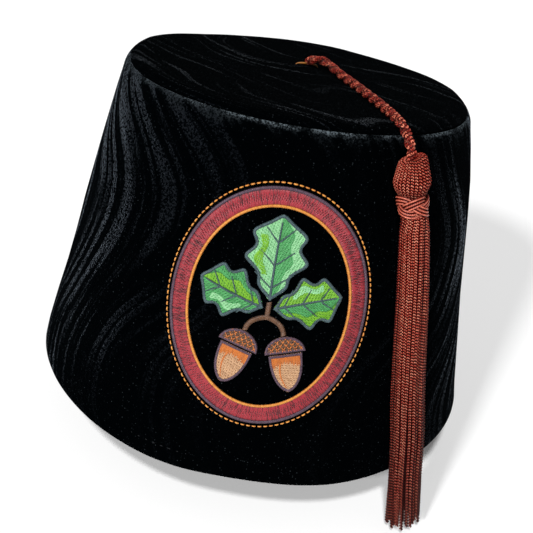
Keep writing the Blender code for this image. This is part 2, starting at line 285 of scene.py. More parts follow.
def threadFinish(name, lit, deep, gloss=0.40, fibres=9, twist=3.0, specular=0.5, sheen=0.1,
                 crest=0.6, tone=0.34, tipShade=0.55, middle=0.5, paintedHighlight=None):
    # rayon thread: fine filaments wind along it, and every stitch differs a little in tone at random; light
    # and shade are painted along its crest, sides and tips
    lit, deep = paint(*lit), paint(*deep)
    material, graph = newMaterial(name)
    chance, shade = (graph.add("ShaderNodeAttribute", {"attribute_name": label}, {}, "Fac")
                     for label in ("tone", "shade"))
    around, along = graph.uv("threadUv")
    filament = ((around * fibres + along * twist) * circle).sine()
    top = ((around - 0.15) * circle).cosine()  # 1 along the crest of a stitch
    tip = ((along - middle).size() / (1.0 - middle)) ** 2.0
    cloudy = graph.noise(graph.add("ShaderNodeTexCoord", {}, {}, "Object"), 900.0, 1.0) - 0.5
    # painted light: a highlight along each stitch's crest and painted shade on its sides, as strong as crest,
    # and painted shade at its ends, where it dives under
    light = 0.98 - crest + top * crest + chance * tone + filament * 0.07 + cloudy * 0.3 - tip * tipShade
    colour = graph.blend(light.over(-0.1, 1.0), deep, lit)
    # a painted highlight in its own colour where the painted light is strongest
    if paintedHighlight:
        colour = graph.blend(light.over(0.72, 1.12), colour, paint(*paintedHighlight))
    # painted shade: the shade attribute darkens the thread towards a darker deep colour
    colour = graph.blend(shade, colour, [channel * 0.4 for channel in deep[:3]] + [1.0])
    return closeMaterial(material, graph, {
        "Base Color": colour, "Roughness": gloss + cloudy * 0.2, "Specular IOR Level": specular,
        "Sheen Weight": sheen, "Sheen Roughness": 0.4, "Normal": graph.bump(0.35, 0.06 * mm, filament)}, lit)


velvet = {
    "pile": paint(1, 2, 3),
    "litPile": paint(21, 24, 28),
    # lint in the pile, and the colour of the painted highlights along the seam and in the specks
    "lintAndGlint": paint(98, 108, 114),
    "swingHeight": 150.0,  # mm from one swing of the streaks to the next
    "swingStart": 1.5,
    # patterns: mm across and along, a depth that sets each apart, and where it starts and is whole
    "broad": (5.2, 90.0, 0.0, 0.50, 0.61),
    "fine": (2.8, 70.0, 7.0, 0.52, 0.64),
    "patches": (34.0, 75.0, 3.0, 0.30, 0.52),
    "seamGaps": (9.0, 30.0, 5.0, 0.38, 0.58),
    "spread": (0.08, 7.0),  # how much wider streaks are at the seam, and the mm over which they narrow
    "fade": (80.0, 135.0, 0.4),  # mm below the seam where streaks start to fade and end, and how much
    # how many grains and specks there are in a metre
    "grains": 1250.0,
    "specks": 1500.0,
    # painted side light round the hat, where the lamps fall on the pile: a level, its front, its left and
    # twice round
    "paintedSideLight": (0.55, 0.275, 0.25, 0.125),
}


def velvetFinish(name, seamAt, turn, swing, warp, bend, thin, sheen, glow, paintedLight=0.0, curl=1.0):
    # watered velvet: the pile lies this way and that in flowing streaks
    material, graph = newMaterial(name)
    across, along = (side * 1000.0 for side in graph.uv("clothUv"))  # mm

    def pattern(label, x, y, more=0.0):
        wide, long, depth, low, high = velvet[label]
        return (graph.noise(graph.joined(x / wide, y / long, depth), 1.0, 1.0) + more).over(low, high)

    reach = graph.add("ShaderNodeVectorMath", {"operation": "LENGTH"}, {0: graph.joined(across, along)}, 1)
    below = reach - seamAt
    # painted light: the streaks are strongest on the left and behind and weakest in front, as the lamps light
    # the pile at a graze
    azimuth = across.maths("ARCTAN2", across, along) / sin(taper)
    level, front, left, double = velvet["paintedSideLight"]
    sideLight = level - azimuth.cosine() * front - azimuth.sine() * left - (azimuth * 2.0).cosine() * double
    sideLight = 1.0 - paintedLight + (0.13 + sideLight.over(0.14, 0.52) * 0.78) * paintedLight
    run = across * sin(turn) + along * cos(turn)
    across, along = across * cos(turn) - along * sin(turn), run
    bent = (graph.noise(graph.joined(across, along * curl), 1 / bend, 1.0) - 0.5) * warp
    phase = (along - seamAt - velvet["swingStart"]) * (circle / velvet["swingHeight"])
    flow = across + phase.sine() * swing + bent
    spread, narrowed = velvet["spread"]
    widened = spread - below.size().over(0.0, narrowed) * spread
    broad = pattern("broad", flow, along, widened - thin)
    streaks = broad * 0.85 + pattern("fine", flow, along, -thin) * 0.65
    streaks = streaks * pattern("patches", flow, along) * sideLight
    place = graph.add("ShaderNodeTexCoord", {}, {}, "Object")
    grain = graph.noise(place, velvet["grains"], 2.0, 0.75).over(0.44, 0.62)
    fadeStart, fadeEnd, faded = velvet["fade"]
    share = (streaks * (1.0 - below.over(fadeStart, fadeEnd) * faded) * (0.04 + grain * 1.5)).over(0.0, 1.0)
    # painted highlight along the seam, where the tips of the pile catch the light, brighter and longer where
    # a streak starts
    uneven = graph.noise(graph.joined(across / 3.0, along / 3.0, 9.0), 1.0, 2.0)
    lifted = (below + 1.2).over(0.0, 1.0)
    ridge = (1.0 - (below / (0.5 + uneven * 2.9)).over(0.0, 1.0)) * lifted
    starts = broad * sideLight * (1.0 - (below / (3.0 + uneven * 7.0)).over(0.0, 1.0)) * lifted
    seamHighlight = ridge * pattern("seamGaps", across, along) * (1.0 - sideLight * 0.7) + starts * 0.5
    seamHighlight = seamHighlight * paintedLight * (0.05 + grain * 1.1)
    # specks of lint in the pile, partly painted glints
    far, cell = graph.add("ShaderNodeTexVoronoi", {}, {"Vector": place, "Scale": velvet["specks"]},
                          ("Distance", "Color"))
    chance, paleness, _ = graph.parted(cell)
    specks = (1.0 - far.over(0.2, 0.42)) * chance.over(0.87, 0.875) * (0.03 + paleness ** 4.0 * 0.22)
    dull = graph.blend(specks + seamHighlight, velvet["pile"], velvet["lintAndGlint"])
    bump = graph.bump(0.6, 0.25 * mm, grain)
    # a lit and a dark copy of the pile, mixed where the streaks run: the lit copy's lighter base colour is
    # painted light, besides its sheen
    dark, bright = (graph.add("ShaderNodeBsdfPrincipled", {}, {
        "Roughness": 1.0, "Specular IOR Level": 0.0, "Normal": bump, "Sheen Tint": glow,
        "Base Color": colour, "Sheen Weight": weight, "Sheen Roughness": roughness})
        for colour, weight, roughness in ((dull, 0.006, 0.3), (velvet["litPile"], sheen, 0.28)))
    surface = graph.add("ShaderNodeMixShader", {}, {0: share, 1: dark, 2: bright})
    return closeMaterial(material, graph, surface, velvet["pile"])


def liningFinish(thread=0.6 * mm):
    # plain black cloth inside, in a fine weave
    material, graph = newMaterial("blackLining")
    warp, weft = ((side * (circle / thread)).sine() for side in graph.uv("clothUv"))
    weave = warp * weft
    colour = graph.blend(weave.over(-0.5, 1.0), paint(10, 10, 11), paint(24, 24, 26))
    return closeMaterial(material, graph, {
        "Base Color": colour, "Roughness": 0.85, "Specular IOR Level": 0.15,
        "Normal": graph.bump(0.5, 0.15 * mm, weave)}, paint(14, 14, 15))


# the chains of the tassel and of the cord, the knot's cord, and the cores under the chains, coloured dark as
# painted shade
chained = {"fibres": 7, "twist": 1.0, "sheen": 0.0}
hidden = {**chained, "fibres": 5, "gloss": 0.7, "specular": 0.1, "crest": 0.0, "tipShade": 0.0}
rustYarn = threadFinish("rustYarn", (196, 52, 34), (38, 3, 1), gloss=0.36, specular=0.12, crest=1.15,
                        tone=0.08, tipShade=1.1, middle=0.3, paintedHighlight=(255, 192, 158), **chained)
rustPly = threadFinish("rustPly", (214, 62, 43), (84, 13, 8), gloss=0.34, specular=0.24, crest=0.9,
                       tone=0.5, paintedHighlight=(255, 150, 118), **chained)
rustGimp = threadFinish("rustGimp", (124, 30, 20), (38, 6, 4), gloss=0.34, fibres=3, twist=1400.0,
                        specular=0.28, sheen=0.0, crest=0.95, tipShade=0.0, paintedHighlight=(244, 134, 106))
# the cores stand for the inner yarn, coloured dark as painted shade in the gaps between links and plies
paintedShadePlyCore = threadFinish("paintedShadePlyCore", (78, 14, 8), (50, 7, 4), **hidden)
paintedShadeCore = threadFinish("paintedShadeCore", (46, 9, 6), (28, 5, 3), **hidden)
goldBrown = threadFinish("goldBrown", (170, 106, 30), (110, 58, 12), crest=0.0, tipShade=0.0)

threads = {name: threadFinish(name + "Thread", lit, deep, **more) for name, lit, deep, more in (
    ("maroon", (174, 44, 57), (58, 8, 18), {"tone": 0.6, "tipShade": 0.7}),
    ("gold", (240, 160, 62), (196, 104, 26), {}),
    ("aubergine", (92, 66, 84), (38, 24, 36), {}),
    ("teal", (66, 92, 98), (22, 38, 44), {}),
    ("lightGreen", (160, 226, 164), (92, 176, 108), {}),
    ("midGreen", (82, 176, 98), (34, 116, 56), {}),
    ("yellowGreen", (128, 196, 34), (64, 140, 14), {}),
    ("tan", (226, 178, 134), (160, 108, 66), {}),
    ("orange", (222, 124, 44), (160, 72, 16), {}),
    ("brown", (112, 74, 46), (52, 28, 16), {}),
    ("hem", (34, 35, 38), (10, 10, 12), {"gloss": 0.6, "specular": 0.1, "sheen": 0.0}),
)}
print("finishes made")


# ---- meshes swept along threads

def unit(vector):
    vector = np.asarray(vector, float)
    return vector / np.linalg.norm(vector)


def headings(points, closed=False):
    # which way a line runs at each of its points
    if closed:
        return np.roll(points, -1, 0) - np.roll(points, 1, 0)
    return np.gradient(points, axis=0)


def swung(sides, others, angle):
    return sides * np.cos(angle)[:, None] + others * np.sin(angle)[:, None]


def steadySides(points, closed=False):
    # tangents with a pair of sides carried along without twisting, and closed up in a loop
    points = np.asarray(points, float)
    ahead = headings(points, closed)
    ahead /= np.linalg.norm(ahead, axis=1)[:, None]
    side = np.cross(ahead[0], (0.31, 0.42, 0.85))
    sides = np.empty_like(points)
    for i, heading in enumerate(ahead):
        side = side - heading * side.dot(heading)
        side = side / np.linalg.norm(side)
        sides[i] = side
    others = np.cross(ahead, sides)
    if closed:
        last = side - ahead[0] * side.dot(ahead[0])
        slip = atan2(last.dot(others[0]), last.dot(sides[0]))
        turn = -slip * np.arange(len(points)) / len(points)
        sides, others = swung(sides, others, turn), swung(others, -sides, turn)
    return ahead, sides, others


def runLengths(points):
    steps = np.linalg.norm(np.diff(np.asarray(points, float), axis=0), axis=1)
    return np.concatenate(([0.0], np.cumsum(steps)))


def evenly(points, spacing):
    # the same line with its points at an even spacing
    points = np.asarray(points, float)
    run = runLengths(points)
    even = np.linspace(0, run[-1], max(2, round(run[-1] / spacing)) + 1)
    return np.stack([np.interp(even, run, column) for column in points.T], 1)


def smoothRoute(points, spacing):
    # points along a Catmull-Rom curve through the route
    points = [Vector(p) for p in points]
    padded = [points[0] * 2 - points[1], *points, points[-1] * 2 - points[-2]]
    fine = []
    for a, b, c, d in zip(padded, padded[1:], padded[2:], padded[3:]):
        for i in range(20):
            t = i / 20
            fine.append(0.5 * (2 * b + (c - a) * t + (2 * a - 5 * b + 4 * c - d) * t**2
                               + (3 * b - a - 3 * c + d) * t**3))
    return evenly([*fine, points[-1]], spacing)


def skin(rows, sides, heights, closed=False):
    # faces over rings of points, and their UVs: the share of the way round, and a height for each ring
    faces, corners = [], []
    for i in range(rows if closed else rows - 1):
        near, far = i * sides, (i + 1) % rows * sides
        for j in range(sides):
            k = (j + 1) % sides
            faces.append((near + j, near + k, far + k, far + j))
            low, high = j / sides, (j + 1) / sides
            corners += [(low, heights[i]), (high, heights[i]), (high, heights[i + 1]), (low, heights[i + 1])]
    if not closed:
        faces += [tuple(reversed(range(sides))), tuple(range((rows - 1) * sides, rows * sides))]
        corners += [(0.0, heights[0])] * sides + [(0.0, heights[rows - 1])] * sides
    return faces, corners


class Bundle:
    # gathers shapes into one mesh with a UV
    def __init__(self):
        self.places, self.faces, self.corners, self.count = [], [], [], 0

    def add(self, places, faces, corners):
        self.places.append(places)
        self.faces += [tuple(self.count + i for i in face) for face in faces]
        self.corners += corners
        self.count += len(places)

    def tube(self, points, radius, sides=6, closed=False, outward=None):
        points = np.asarray(points, float)
        radius = np.broadcast_to(radius, (len(points),))
        ahead, first, second = steadySides(points, closed)
        # the painted highlight of a thread lies along its crest
        if outward is not None:  # the crest of the thread faces this way
            first = np.cross(np.cross(ahead, outward), ahead)
            first /= np.linalg.norm(first, axis=1)[:, None]
            second = np.cross(ahead, first)
        turn = circle * (np.arange(sides) / sides - 0.15)
        rings = points[:, None] + radius[:, None, None] * (
            first[:, None] * np.cos(turn)[None, :, None] + second[:, None] * np.sin(turn)[None, :, None])
        heights = runLengths(np.vstack([points, points[:1]]))
        self.add(rings.reshape(-1, 3), *skin(len(points), sides, heights, closed))

    def piece(self, name, material):
        return addPiece(name, np.vstack(self.places), self.faces, material, self.corners)


def addPiece(name, places, faces, material, corners=None):
    # without corners every face reads the middle of the finish
    mesh = bpy.data.meshes.new(name)
    mesh.from_pydata([tuple(p) for p in places], [], faces)
    corners = corners or [(0.5, 0.5)] * sum(len(face) for face in faces)
    mesh.uv_layers.new(name="threadUv").data.foreach_set("uv", np.array(corners, np.float32).ravel())
    mesh.materials.append(material)
    mesh.update()
    mesh.shade_smooth()
    return placed(name, mesh)


def joinPieces(name, pieces):
    # one mesh from several, with each one's own finish
    bpy.context.view_layer.update()
    with bpy.context.temp_override(active_object=pieces[0], selected_editable_objects=pieces):
        bpy.ops.object.join()
    pieces[0].name = pieces[0].data.name = name
    return pieces[0]


def centre(ring):
    return sum((Vector(p) for p in ring), Vector()) / len(ring)


def closedLoft(name, rings, material):
    # skins rings that wind the same way, and caps both ends
    faces, _ = skin(len(rings), len(rings[0]), [0.0] * len(rings))
    piece = addPiece(name, [point for ring in rings for point in ring], faces, material)
    middle, start, after = centre(rings[0]), Vector(rings[0][0]), Vector(rings[0][1])
    if (centre(rings[1]) - middle).cross(after - start).dot(start - middle) >= 0:
        piece.data.flip_normals()
    return piece


def finished(piece, slot, *nodes):
    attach(piece, "root")
    if nodes:
        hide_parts(*nodes)
    return piece


# ---- trees that lay shapes on points and turn a profile

def newTree(name, inputs):
    # an empty tree, and its inputs as wires
    tree = bpy.data.node_groups.new(name, "GeometryNodeTree")
    tree.interface.new_socket("Geometry", in_out="INPUT", socket_type="NodeSocketGeometry")
    for label, kind in inputs.items():
        tree.interface.new_socket(label, in_out="INPUT", socket_type="NodeSocket" + kind)
    tree.interface.new_socket("Geometry", in_out="OUTPUT", socket_type="NodeSocketGeometry")
    graph = Graph(tree)
    return tree, graph, graph.add("NodeGroupInput", out=("Geometry", *inputs))


def placingTree():
    # lays one shape on every point, its length along "along" and its top towards "facing"
    tree, graph, (points, shape, width, thickness, uneven, seed, finish) = newTree("laidShapes", {
        "Shape": "Object", "Width": "Float", "Thickness": "Float", "Unevenness": "Float", "Seed": "Int",
        "Finish": "Material"})

    def chance(extra):
        sockets = {2: -1.0, 3: 1.0, 8: seed + extra}
        return graph.add("FunctionNodeRandomValue", {"data_type": "FLOAT"}, sockets, 1)

    facing, along, stretch = (graph.named(name, "FLOAT_VECTOR") for name in ("facing", "along", "stretch"))
    turn = graph.add("FunctionNodeAxesToRotation", {"primary_axis": "Z", "secondary_axis": "X"},
                     {"Primary Axis": facing, "Secondary Axis": along})
    scale = graph.joined(1.0, width * (1.0 + uneven * chance(0)), thickness * (1.0 + uneven * chance(1)))
    scale = graph.add("ShaderNodeVectorMath", {"operation": "MULTIPLY"}, {0: scale, 1: stretch})
    item = graph.add("GeometryNodeObjectInfo", {}, {"Object": shape}, "Geometry")
    laid = graph.add("GeometryNodeInstanceOnPoints", {}, {
        "Points": points, "Instance": item, "Rotation": turn, "Scale": scale})
    laid = graph.stored(laid, "tone", chance(2), "FLOAT", "INSTANCE")
    laid = graph.add("GeometryNodeRealizeInstances", {}, {"Geometry": laid})
    laid = graph.add("GeometryNodeSetMaterial", {}, {"Geometry": laid, "Material": finish})
    graph.add("NodeGroupOutput", {}, {"Geometry": laid}, None)
    return tree


def turningTree():
    # turns a profile about the upright axis; the UV lays the cloth out flat
    tree, graph, (profile, segments, opening, wobble, finish, inner) = newTree("turnedProfile", {
        "Segments": "Int", "Cone opening": "Float", "Wobble": "Float", "Finish": "Material",
        "Inner finish": "Material"})
    rows = graph.add("GeometryNodeAttributeDomainSize", {"component": "MESH"}, {"Geometry": profile},
                     "Point Count")
    grid = graph.add("GeometryNodeMeshGrid", {}, {
        "Size X": 1.0, "Size Y": 1.0, "Vertices X": segments + 1.0, "Vertices Y": rows + 1.0})
    spot = graph.add("GeometryNodeInputPosition")
    x, y, _ = graph.parted(spot)
    azimuth, row = x * circle, (y + 0.5) * rows
    row = row.maths("ROUND", row) % rows

    def sampled(value, kind="FLOAT"):
        return graph.add("GeometryNodeSampleIndex", {"data_type": kind, "domain": "POINT"},
                         {"Geometry": profile, "Value": value, "Index": row})

    radius, _, height = graph.parted(sampled(spot, "FLOAT_VECTOR"))
    slant = sampled(graph.named("slant"))
    flat = graph.joined(slant * (azimuth * opening).sine(), slant * (azimuth * opening).cosine())
    grid = graph.stored(grid, "clothUv", flat, "FLOAT2", "CORNER")
    grid = graph.stored(grid, "inside", sampled(graph.named("inside")), "FLOAT", "POINT")
    place = graph.joined(radius * azimuth.sine(), 0.0 - radius * azimuth.cosine(), height)
    turned = graph.add("GeometryNodeSetPosition", {}, {"Geometry": grid, "Position": place})
    turned = graph.add("GeometryNodeMergeByDistance", {}, {"Geometry": turned, "Distance": 1e-6})
    uneven = (graph.noise(spot, 22.0, 1.0) - 0.5) * wobble * 2.0
    push = graph.add("ShaderNodeVectorMath", {"operation": "SCALE"},
                     {0: graph.add("GeometryNodeInputNormal"), "Scale": uneven})
    turned = graph.add("GeometryNodeSetPosition", {}, {"Geometry": turned, "Offset": push})
    hidden = graph.named("inside").maths("GREATER_THAN", graph.named("inside"), 0.5)
    for cloth, where in ((finish, True), (inner, hidden)):
        turned = graph.add("GeometryNodeSetMaterial", {}, {
            "Geometry": turned, "Selection": where, "Material": cloth})
    graph.add("NodeGroupOutput", {}, {"Geometry": turned}, None)
    return tree


def grown(name, places, edges, attributes, tree, values):
    # runs a tree on points or a profile and keeps the result as a plain mesh
    mesh = bpy.data.meshes.new(name + "_start")
    mesh.from_pydata([tuple(p) for p in places], edges, [])
    for label, data in attributes.items():
        data = np.asarray(data, np.float32)
        kind, field = ("FLOAT_VECTOR", "vector") if data.ndim == 2 else ("FLOAT", "value")
        mesh.attributes.new(label, kind, "POINT").data.foreach_set(field, data.ravel())
    holder = placed(name + "_start", mesh)
    modifier = holder.modifiers.new(tree.name, "NODES")
    modifier.node_group = tree
    for item in tree.interface.items_tree:
        if item.in_out == "INPUT" and item.name in values:
            modifier[item.identifier] = values[item.name]
    shaped = holder.evaluated_get(bpy.context.evaluated_depsgraph_get())
    result = bpy.data.meshes.new_from_object(shaped)
    holder.modifiers.remove(modifier)
    bpy.data.objects.remove(holder)
    result.name = name
    for label in ("along", "facing", "stretch", "inside"):
        if label in result.attributes:
            result.attributes.remove(result.attributes[label])
    result.shade_smooth()
    return placed(name, result)


layShapes, turnProfile = placingTree(), turningTree()


# ---- the stitch and the links that the first tree lays

stitchSections = [(-0.5, -0.95, 0.20, 0.25), (-0.36, -0.35, 0.45, 0.46), (0.0, 0.0, 0.5, 0.5),
                  (0.36, -0.35, 0.45, 0.46), (0.5, -0.95, 0.20, 0.25)]
armSections = [(-0.5, -0.08, 0.22, 0.20), (-0.26, 0.02, 0.5, 0.5), (0.26, 0.02, 0.5, 0.5),
               (0.5, -0.08, 0.22, 0.20)]


def bar(sections, sides=5):
    # a closed bar skinned through rings of (along, middle, half width, half height)
    places, rows = [], len(sections)
    for x, z, wide, high in sections:
        for j in range(sides):
            turn = circle * (j + 0.5) / sides
            places.append((x, wide * cos(turn), z + high * sin(turn)))
    return np.array(places), *skin(rows, sides, [i / (rows - 1) for i in range(rows)])


def storedShape(name, places, faces, corners):
    shape = addPiece(name, places, faces, rustYarn, corners)
    shape.hide_render = True
    return shape


def linkShape(name, layers, reach, spread, thick, stagger):
    # one link of chain, in mm: two plump arms that part below its tip, on each layer
    link = Bundle()
    for lift, flip in layers:
        for hand in (1, -1):
            shift = stagger * hand / 2
            start = np.array((shift - reach, spread[0] * hand))
            end = np.array((reach + shift, spread[1] * hand))
            run = end - start
            forward, sideways = run / np.hypot(*run), np.array((-run[1], run[0])) / np.hypot(*run)
            arm, faces, corners = bar(armSections)
            arm[:, 1:] *= thick
            flat = (start + end) / 2 + arm[:, :1] * (run + forward * 0.25) + arm[:, 1:2] * sideways
            # each arm dives under the next link at its tip
            height = lift + arm[:, 2] * flip + flip * 0.12 * arm[:, 0]
            if flip < 0:
                faces = [tuple(reversed(face)) for face in faces]
            link.add(np.column_stack((flat, height)), faces, corners)
    return storedShape(name, np.vstack(link.places) * mm, link.faces, link.corners)


# a stitch one long, one wide and one thick, arched so that its ends dive into the cloth
stitch = storedShape("stitch_shape", *bar(stitchSections))
oneLayer, twoLayers = [(0.0, 1)], [(0.26, 1), (-0.26, -1)]  # how high each is, and which way it faces
# the layers, half the length, where an arm starts and ends to the side, its thickness, and how far
# one arm runs ahead of the other
links = {name: linkShape(name + "_link_shape", *sizes) for name, sizes in {
    "faced": (oneLayer, 0.28, (0.13, 0.58), 0.61, 0.28),
    "chain": (twoLayers, 0.24, (0.13, 0.60), 0.57, 0.1),
    "turned": (twoLayers, 0.24, (0.13, 0.57), 0.57, 0.4),
    "ply": (oneLayer, 0.38, (0.14, 0.48), 0.56, 0.0),
}.items()}


def laidPiece(name, spots, finish, seed, shape, width=1.0, thickness=1.0, uneven=0.08):
    # spots are (place, along, facing, stretch, shade)
    place, *rest = (np.array(column) for column in zip(*spots))
    return grown(name, place, [], dict(zip(("along", "facing", "stretch", "shade"), rest)), layShapes, {
        "Shape": shape, "Width": width, "Thickness": thickness, "Unevenness": uneven, "Seed": seed,
        "Finish": finish})


# ---- cord: two plies laid up in a left-handed twist

cord = {
    "diameter": 4.3 * mm,
    "tip": 5.8 + 4.3 / 3,  # mm above the head's middle, in the hollow of the tassel's head
    "tucked": 3.0,  # mm that the end goes on into the head
    "gap": 0.3 * mm,
    # mm along it, and the length of one turn of the two plies there
    "turns": [(0, 13.4), (62, 13.0), (76, 10.0), (97, 8.4)],
    "plyMiddle": 0.67 * mm,  # from the cord's centre to a ply's
    "plyCore": 0.86 * mm,
    "plyTwist": 16.0 * mm,
    "columns": 5,  # of links round a ply
    "linkPitch": 1.1 * mm,
    # across, towards the back, and the rise above where it lies flat, mm
    "onTop": [
        (2.2, 14.4, 0.0), (3.6, 13.0, 1.0), (5.4, 11.3, 1.8), (7.4, 9.4, 2.2), (9.6, 7.2, 2.0),
        (11.8, 4.6, 1.4), (13.9, 1.6, 0.7), (15.9, -2.0, 0.2), (17.8, -6.2, 0.0), (20.4, -12.3, 0.0),
        (23.0, -19.2, 0.0), (25.5, -26.0, 0.0), (28.0, -32.9, 0.0), (30.4, -39.4, 0.0),
        (32.3, -45.6, 0.0), (34.0, -51.7, 0.1),
    ],
    # azimuth in degrees, radius and height in mm
    "overShoulder": [(31.4, 70.9, 137.0), (31.6, 75.3, 134.5), (31.8, 78.3, 131.3)],
}


def cordRoute():
    lying = crown["height"] + cord["diameter"] / 2 + cord["gap"]
    route = [(x * mm, y * mm, lying + rise * mm) for x, y, rise in cord["onTop"]]
    for degrees, radius, height in cord["overShoulder"]:
        turn = radians(degrees)
        route.append((radius * mm * sin(turn), -radius * mm * cos(turn), height * mm))
    return route + [tuple(onTassel(down - cord["tip"], 0, 0)) for down in (0.0, cord["tucked"])]


def layCord():
    middle = smoothRoute(cordRoute(), 0.4 * mm)
    ahead, sides, others = steadySides(middle)
    run = runLengths(middle)
    turns = np.interp(run, *np.transpose(cord["turns"]) * mm)
    arms = swung(sides, others, -circle * np.cumsum(np.gradient(run) / turns)) * cord["plyMiddle"]
    # the plies are one strand doubled back, so a small bend joins them at the root
    bend = [middle[0] + arms[0] * cos(t) - ahead[0] * cord["plyMiddle"] * 1.3 * sin(t)
            for t in np.linspace(0, pi, 9)[1:-1]]
    doubled = np.vstack([(middle + arms)[::-1], bend, middle - arms])
    ply = smoothRoute(doubled[::2], cord["linkPitch"])
    ahead, sides, others = steadySides(ply)
    centres = middle[np.argmin(np.linalg.norm(ply[:, None] - middle[None, :], axis=2), axis=1)]
    spots = []
    for column in range(cord["columns"]):
        for row, (spot, heading, side, other) in enumerate(zip(ply, ahead, sides, others)):
            angle = circle * (column / cord["columns"] + row * cord["linkPitch"] / cord["plyTwist"])
            facing = side * cos(angle) + other * sin(angle)
            # painted shade: links deep between the plies are darkened, those facing down under the cord more
            # where it lies level, and the whole level stretch a little besides
            deep = held(0.7 - facing.dot(unit(spot - centres[row])), 0.0, 0.8)
            level = 1.0 - abs(heading[2])
            shade = 0.8 * deep + 0.3 * held(0.3 - facing[2]) * level + 0.3 * level
            spots.append((spot + facing * cord["plyCore"], heading, facing, (1.0, 1.0, 1.0), shade))
    chains = laidPiece("cord_rope", spots, rustPly, 2, links["ply"])
    # a dark core inside each ply, painted shade between its links
    core = Bundle()
    core.tube(ply, cord["plyCore"], 8)
    piece = joinPieces("cord_rope", [chains, core.piece("cord_core", paintedShadePlyCore)])
    finished(piece, "rust_yarn", "cord")


layCord()

tack = {
    "thickness": 0.9 * mm,
    "gap": 0.3 * mm,
    "ply": 0.23 * mm,
    "plyMiddle": 0.21 * mm,
    "twist": 2.0 * mm,
    # across, towards the back, and the rise, mm
    "route": [(-3.4, 15.2, -0.7), (-2.4, 15.6, -0.15), (0.2, 16.4, 0.1), (2.9, 17.2, 0.1),
              (5.4, 16.6, -0.1), (6.4, 16.0, -0.7)],
}


def layTack():
    # a twisted gold-brown thread of three plies that ties down the cord's root
    height = crown["height"] + tack["thickness"] / 2 + tack["gap"]
    middle = smoothRoute([(x * mm, y * mm, height + z * mm) for x, y, z in tack["route"]], 0.15 * mm)
    _, sides, others = steadySides(middle)
    run = runLengths(middle)
    narrow = np.interp(run, [0.0, 2.2 * mm, run[-1] - 1.0 * mm, run[-1]], [0.3, 1.0, 1.0, 0.3])
    bundle = Bundle()
    for ply in range(3):
        arms = swung(sides, others, circle * (run / tack["twist"] + ply / 3))
        bundle.tube(middle + arms * (narrow * tack["plyMiddle"])[:, None], narrow * tack["ply"], 6)
    finished(bundle.piece("cord_tack_thread", goldBrown), "gold_brown_thread", "cord_tack")


layTack()
print("tack laid")


# ---- crown

shoulderInset = crown["shoulder"] / tan((pi / 2 + taper) / 2)
shoulderCentre = (crown["topRadius"] - shoulderInset, crown["height"] - crown["shoulder"])
seamOpening = radians(5.2)  # from the seam to where the cloth begins to roll in


def arc(middle, radius, start, end, steps):
    # the angle is taken down from straight up
    angles = [start + (end - start) * i / steps for i in range(steps + 1)]
    return [(middle[0] + radius * sin(a), middle[1] + radius * cos(a)) for a in angles]


def lip(side):
    # how an edge of cloth rolls into the seam, from the surface down: degrees from it, and mm deep
    roll = [(4.6, 0.0), (2.6, 0.08), (1.2, 0.35), (0.4, 0.9), (0.1, 1.8)]
    turns = [(crown["seam"] + side * radians(degrees), depth * mm) for degrees, depth in roll]
    return [arc(shoulderCentre, crown["shoulder"] - depth, turn, turn, 1)[0] for turn, depth in turns]


def straight(start, end, steps):
    return [(start[0] + (end[0] - start[0]) * i / steps, start[1] + (end[1] - start[1]) * i / steps)
            for i in range(steps + 1)]


def cleanLoop(outer, inner):
    # one closed loop of points, and which of them are inside the hat
    points, inside = [], []
    for hidden, part in ((0.0, outer), (1.0, inner)):
        for point in part:
            if not points or dist(point, points[-1]) > 1e-6:
                points.append(point)
                inside.append(hidden)
    if dist(points[0], points[-1]) < 1e-6:
        points, inside = points[:-1], inside[:-1]
    return np.array(points), inside


def turnedPiece(name, loop, slants, inside, opening, finish):
    count = len(loop)
    places = [(r, 0.0, z) for r, z in loop]
    edges = [(i, (i + 1) % count) for i in range(count)]
    piece = grown(name, places, edges, {"slant": slants, "inside": inside}, turnProfile, {
        "Segments": crown["segments"], "Cone opening": opening, "Wobble": crown["wobble"],
        "Finish": finish, "Inner finish": lining})
    ease(piece.data)
    return piece


def ease(mesh):
    # leaves the true cone a little, as the worn hat does
    places = np.empty(3 * len(mesh.vertices), np.float32)
    mesh.vertices.foreach_get("co", places)
    places = places.reshape(-1, 3)
    radius, height = np.hypot(places[:, 0], places[:, 1]) / mm, places[:, 2] / mm
    azimuth = np.degrees(np.arctan2(places[:, 0], -places[:, 1]))
    rise = readTable(crown["shoulderRise"], azimuth)
    rise *= np.interp(crown["topRadius"] / mm - radius, [2.0, 30.0], [1.0, 0.0])
    rise *= np.interp(crown["height"] / mm - height, [3.0, 14.0], [1.0, 0.0])
    out = rise * 0.35
    for name, middle in (("leftBulge", -76.0), ("rightBulge", 84.0)):
        beside = np.clip(1 - np.abs(azimuth - middle) / 45.0, 0, 1)
        out += readTable(crown[name], height) * beside**2 * (3 - 2 * beside)
    dip = readTable(crown["rimDip"], azimuth) * np.interp(height, [0.0, 12.0, 45.0], [1.0, 0.85, 0.0])
    places[:, :2] *= (1 + out / np.maximum(radius, 1.0))[:, None]
    places[:, 2] += (rise - dip) * mm
    mesh.vertices.foreach_set("co", places.ravel())
    mesh.update()


